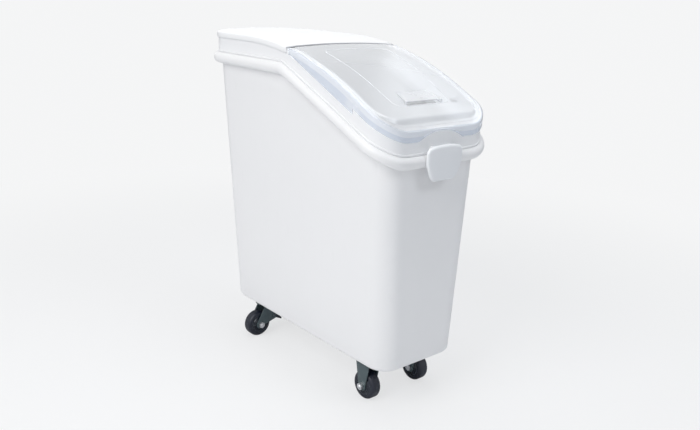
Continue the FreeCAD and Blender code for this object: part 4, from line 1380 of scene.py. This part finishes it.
class BIN_OT_screws(PieceOperator, bpy.types.Operator):
    """Pan-head screws of the caster plates"""

    bl_idname = "ingredient_bin.screws"
    bl_label = "Caster screws"

    def build(self, sizes, finish):
        screw = self.screw()
        spots = []
        for place in caster_places().values():
            middle = place.to_translation()
            for dx in (mm(-18.5), mm(18.5)):
                for dy in (mm(-27.5), mm(27.5)):
                    spots.append(middle + Vector((dx, dy, PLATE_LOW)))
        copies = [copy_at(screw, "screw", Matrix.Translation(spot)) for spot in spots]
        joined(*copies)
        copies[0].name = "plate_screws"
        dress(copies[0], finish["Zinc plate"], "zinc_steel", "caster_screws")
        drop(screw)

    def screw(self):
        """One screw, head down, about the origin, with a cross recess."""
        section = [(mm(9.0), 0.0), (mm(9.0), mm(2.4)), (mm(7.5), mm(3.0)), (0.0, mm(3.0)), (0.0, mm(5.2))]
        section += [(mm(-1.6), mm(5.2)), (mm(-2.5), mm(4.6)), (mm(-3.0), mm(3.4)), (mm(-3.2), mm(2.0))]
        section += [(mm(-3.2), 0.0)]
        screw = turned("screw", section, 24)
        screw.data.transform(Matrix.Rotation(-math.pi / 2.0, 4, "Y"))
        for a, b in (Vector((2.4, 0.45)), Vector((0.45, 2.4))):
            spots = [(-a, -b), (a, -b), (a, b), (-a, b)]
            points = [Vector((mm(x), mm(y), mm(-1.8))) for x, y in spots]
            cutter = slab("recess", points, (0, 0, mm(-4.0)), mm(0.1), 1)
            modify(screw, "BOOLEAN", operation="DIFFERENCE", object=cutter, solver="EXACT")
            drop(cutter)
        return screw


PALE = (0.91, 0.915, 0.92, 1.0)


class BIN_OT_stage(bpy.types.Operator):
    """Floor, soft light and camera"""

    bl_idname = "ingredient_bin.stage"
    bl_label = "Stage"

    def execute(self, context):
        colours = context.scene.bin_colours
        self.floor(colours.floor)
        self.world(context.scene)
        self.lamp("key", (-2.3, -0.4, 2.2), (0.0, 0.0, 0.4), 1.8, 50.0, (1.0, 0.995, 0.985))
        self.lamp("top", (0.2, 0.2, 2.9), (0.0, 0.0, 0.5), 2.0, 30.0, (1.0, 1.0, 1.0))
        self.lamp("fill", (0.7, -2.1, 2.3), (0.0, 0.0, 0.4), 1.2, 15.0, (0.90, 0.95, 1.0))
        self.camera(context.scene)
        context.scene.view_settings.view_transform = "Standard"
        settle()
        return {"FINISHED"}

    def floor(self, tone):
        settle()
        bpy.ops.mesh.primitive_plane_add(size=60.0)
        floor = named("floor")
        finish = Finish("Floor")
        finish.set(Base_Color=(*tone, 1.0), Roughness=0.9)
        finish.shader.inputs["Specular IOR Level"].default_value = 0.0
        path = finish.node("ShaderNodeLightPath")
        seen = finish.node("ShaderNodeMath", operation="MAXIMUM")
        finish.link(path.outputs["Is Camera Ray"], seen.inputs[0])
        finish.link(path.outputs["Is Transmission Ray"], seen.inputs[1])
        reach = finish.node("ShaderNodeVectorMath", operation="LENGTH")
        finish.link(finish.place, reach.inputs[0])
        fade = finish.node("ShaderNodeMapRange", interpolation_type="SMOOTHSTEP")
        for title, value in (("From Min", 0.5), ("From Max", 1.9), ("To Min", 0.72), ("To Max", 1.0)):
            fade.inputs[title].default_value = value
        finish.link(reach.outputs["Value"], fade.inputs["Value"])
        share = finish.node("ShaderNodeMath", operation="MULTIPLY")
        finish.link(seen.outputs[0], share.inputs[0])
        finish.link(fade.outputs[0], share.inputs[1])
        glow = finish.node("ShaderNodeEmission")
        glow.inputs["Color"].default_value = PALE
        mix = finish.node("ShaderNodeMixShader")
        finish.link(share.outputs[0], mix.inputs[0])
        finish.link(finish.shader.outputs[0], mix.inputs[1])
        finish.link(glow.outputs[0], mix.inputs[2])
        finish.link(mix.outputs[0], finish.output.inputs["Surface"])
        floor.data.materials.append(finish.material)

    def world(self, scene):
        """Pale surroundings for what the camera, gloss and clear plastic see; softer light for the rest."""
        world = bpy.data.worlds.new("Studio")
        scene.world = world
        world.use_nodes = True
        tree = world.node_tree
        back = tree.nodes["Background"]
        path = tree.nodes.new("ShaderNodeLightPath")
        first, second = tree.nodes.new("ShaderNodeMath"), tree.nodes.new("ShaderNodeMath")
        for node in (first, second):
            node.operation = "MAXIMUM"
        mix = tree.nodes.new("ShaderNodeMix")
        mix.data_type = "RGBA"
        mix.inputs[MIX_FIRST].default_value = (0.25, 0.26, 0.28, 1.0)
        mix.inputs[MIX_SECOND].default_value = PALE
        tree.links.new(path.outputs["Is Camera Ray"], first.inputs[0])
        tree.links.new(path.outputs["Is Glossy Ray"], first.inputs[1])
        tree.links.new(first.outputs[0], second.inputs[0])
        tree.links.new(path.outputs["Is Transmission Ray"], second.inputs[1])
        tree.links.new(second.outputs[0], mix.inputs[0])
        tree.links.new(mix.outputs[MIX_RESULT], back.inputs["Color"])

    def lamp(self, name, place, target, size, power, tone):
        """A large square soft box."""
        settle()
        bpy.ops.object.light_add(type="AREA", location=place)
        lamp = bpy.context.object
        lamp.name = name
        lamp.data.shape = "SQUARE"
        lamp.data.size = size
        lamp.data.energy = power
        lamp.data.color = tone
        lamp.rotation_euler = (Vector(target) - Vector(place)).to_track_quat("-Z", "Y").to_euler()

    def camera(self, scene):
        """Camera at the photograph's viewing angle, with its slight roll."""
        azimuth, elevation, roll = (math.radians(angle) for angle in (40.69, 16.56, 2.18))
        ahead = Vector((math.sin(azimuth), math.cos(azimuth), -math.tan(elevation))).normalized()
        level = ahead.cross(Vector((0.0, 0.0, 1.0))).normalized()
        rise = level.cross(ahead)
        right = level * math.cos(roll) + rise * math.sin(roll)
        up = rise * math.cos(roll) - level * math.sin(roll)
        settle()
        bpy.ops.object.camera_add(location=(-1.028, -1.239, 0.810))
        camera = bpy.context.object
        camera.data.lens = 39.57
        camera.data.sensor_width = 36.0
        turn = Matrix((right, up, -ahead)).transposed()
        camera.rotation_euler = turn.to_euler()
        scene.camera = camera


class BIN_PT_panel(bpy.types.Panel):
    """Lists the bin's operators and its sizes and colours"""

    bl_idname = "BIN_PT_panel"
    bl_label = "Ingredient bin"
    bl_space_type = "VIEW_3D"
    bl_region_type = "UI"
    bl_category = "Ingredient bin"

    def draw(self, context):
        for operator in OPERATORS:
            self.layout.operator(operator.bl_idname)
        for group in (context.scene.bin_sizes, context.scene.bin_colours):
            for key in group.bl_rna.properties.keys():
                if key not in ("rna_type", "name"):
                    self.layout.prop(group, key)


OPERATORS = (
    BIN_OT_body, BIN_OT_collar, BIN_OT_rear_cover, BIN_OT_clear_lid, BIN_OT_latch, BIN_OT_wheels,
    BIN_OT_axles, BIN_OT_front_brackets, BIN_OT_rear_forks, BIN_OT_pedals, BIN_OT_screws, BIN_OT_stage,
)
GROUPS = (BinSizes, BinColours)


def register():
    for kind in GROUPS + OPERATORS + (BIN_PT_panel,):
        bpy.utils.register_class(kind)
    bpy.types.Scene.bin_sizes = bpy.props.PointerProperty(type=BinSizes)
    bpy.types.Scene.bin_colours = bpy.props.PointerProperty(type=BinColours)


def unregister():
    del bpy.types.Scene.bin_colours
    del bpy.types.Scene.bin_sizes
    for kind in reversed(GROUPS + OPERATORS + (BIN_PT_panel,)):
        bpy.utils.unregister_class(kind)


def main():
    """Registers the classes and makes every piece and the stage."""
    register()
    for operator in OPERATORS:
        getattr(bpy.ops.ingredient_bin, operator.bl_idname.split(".")[1])()


if __name__ == "__main__":
    main()
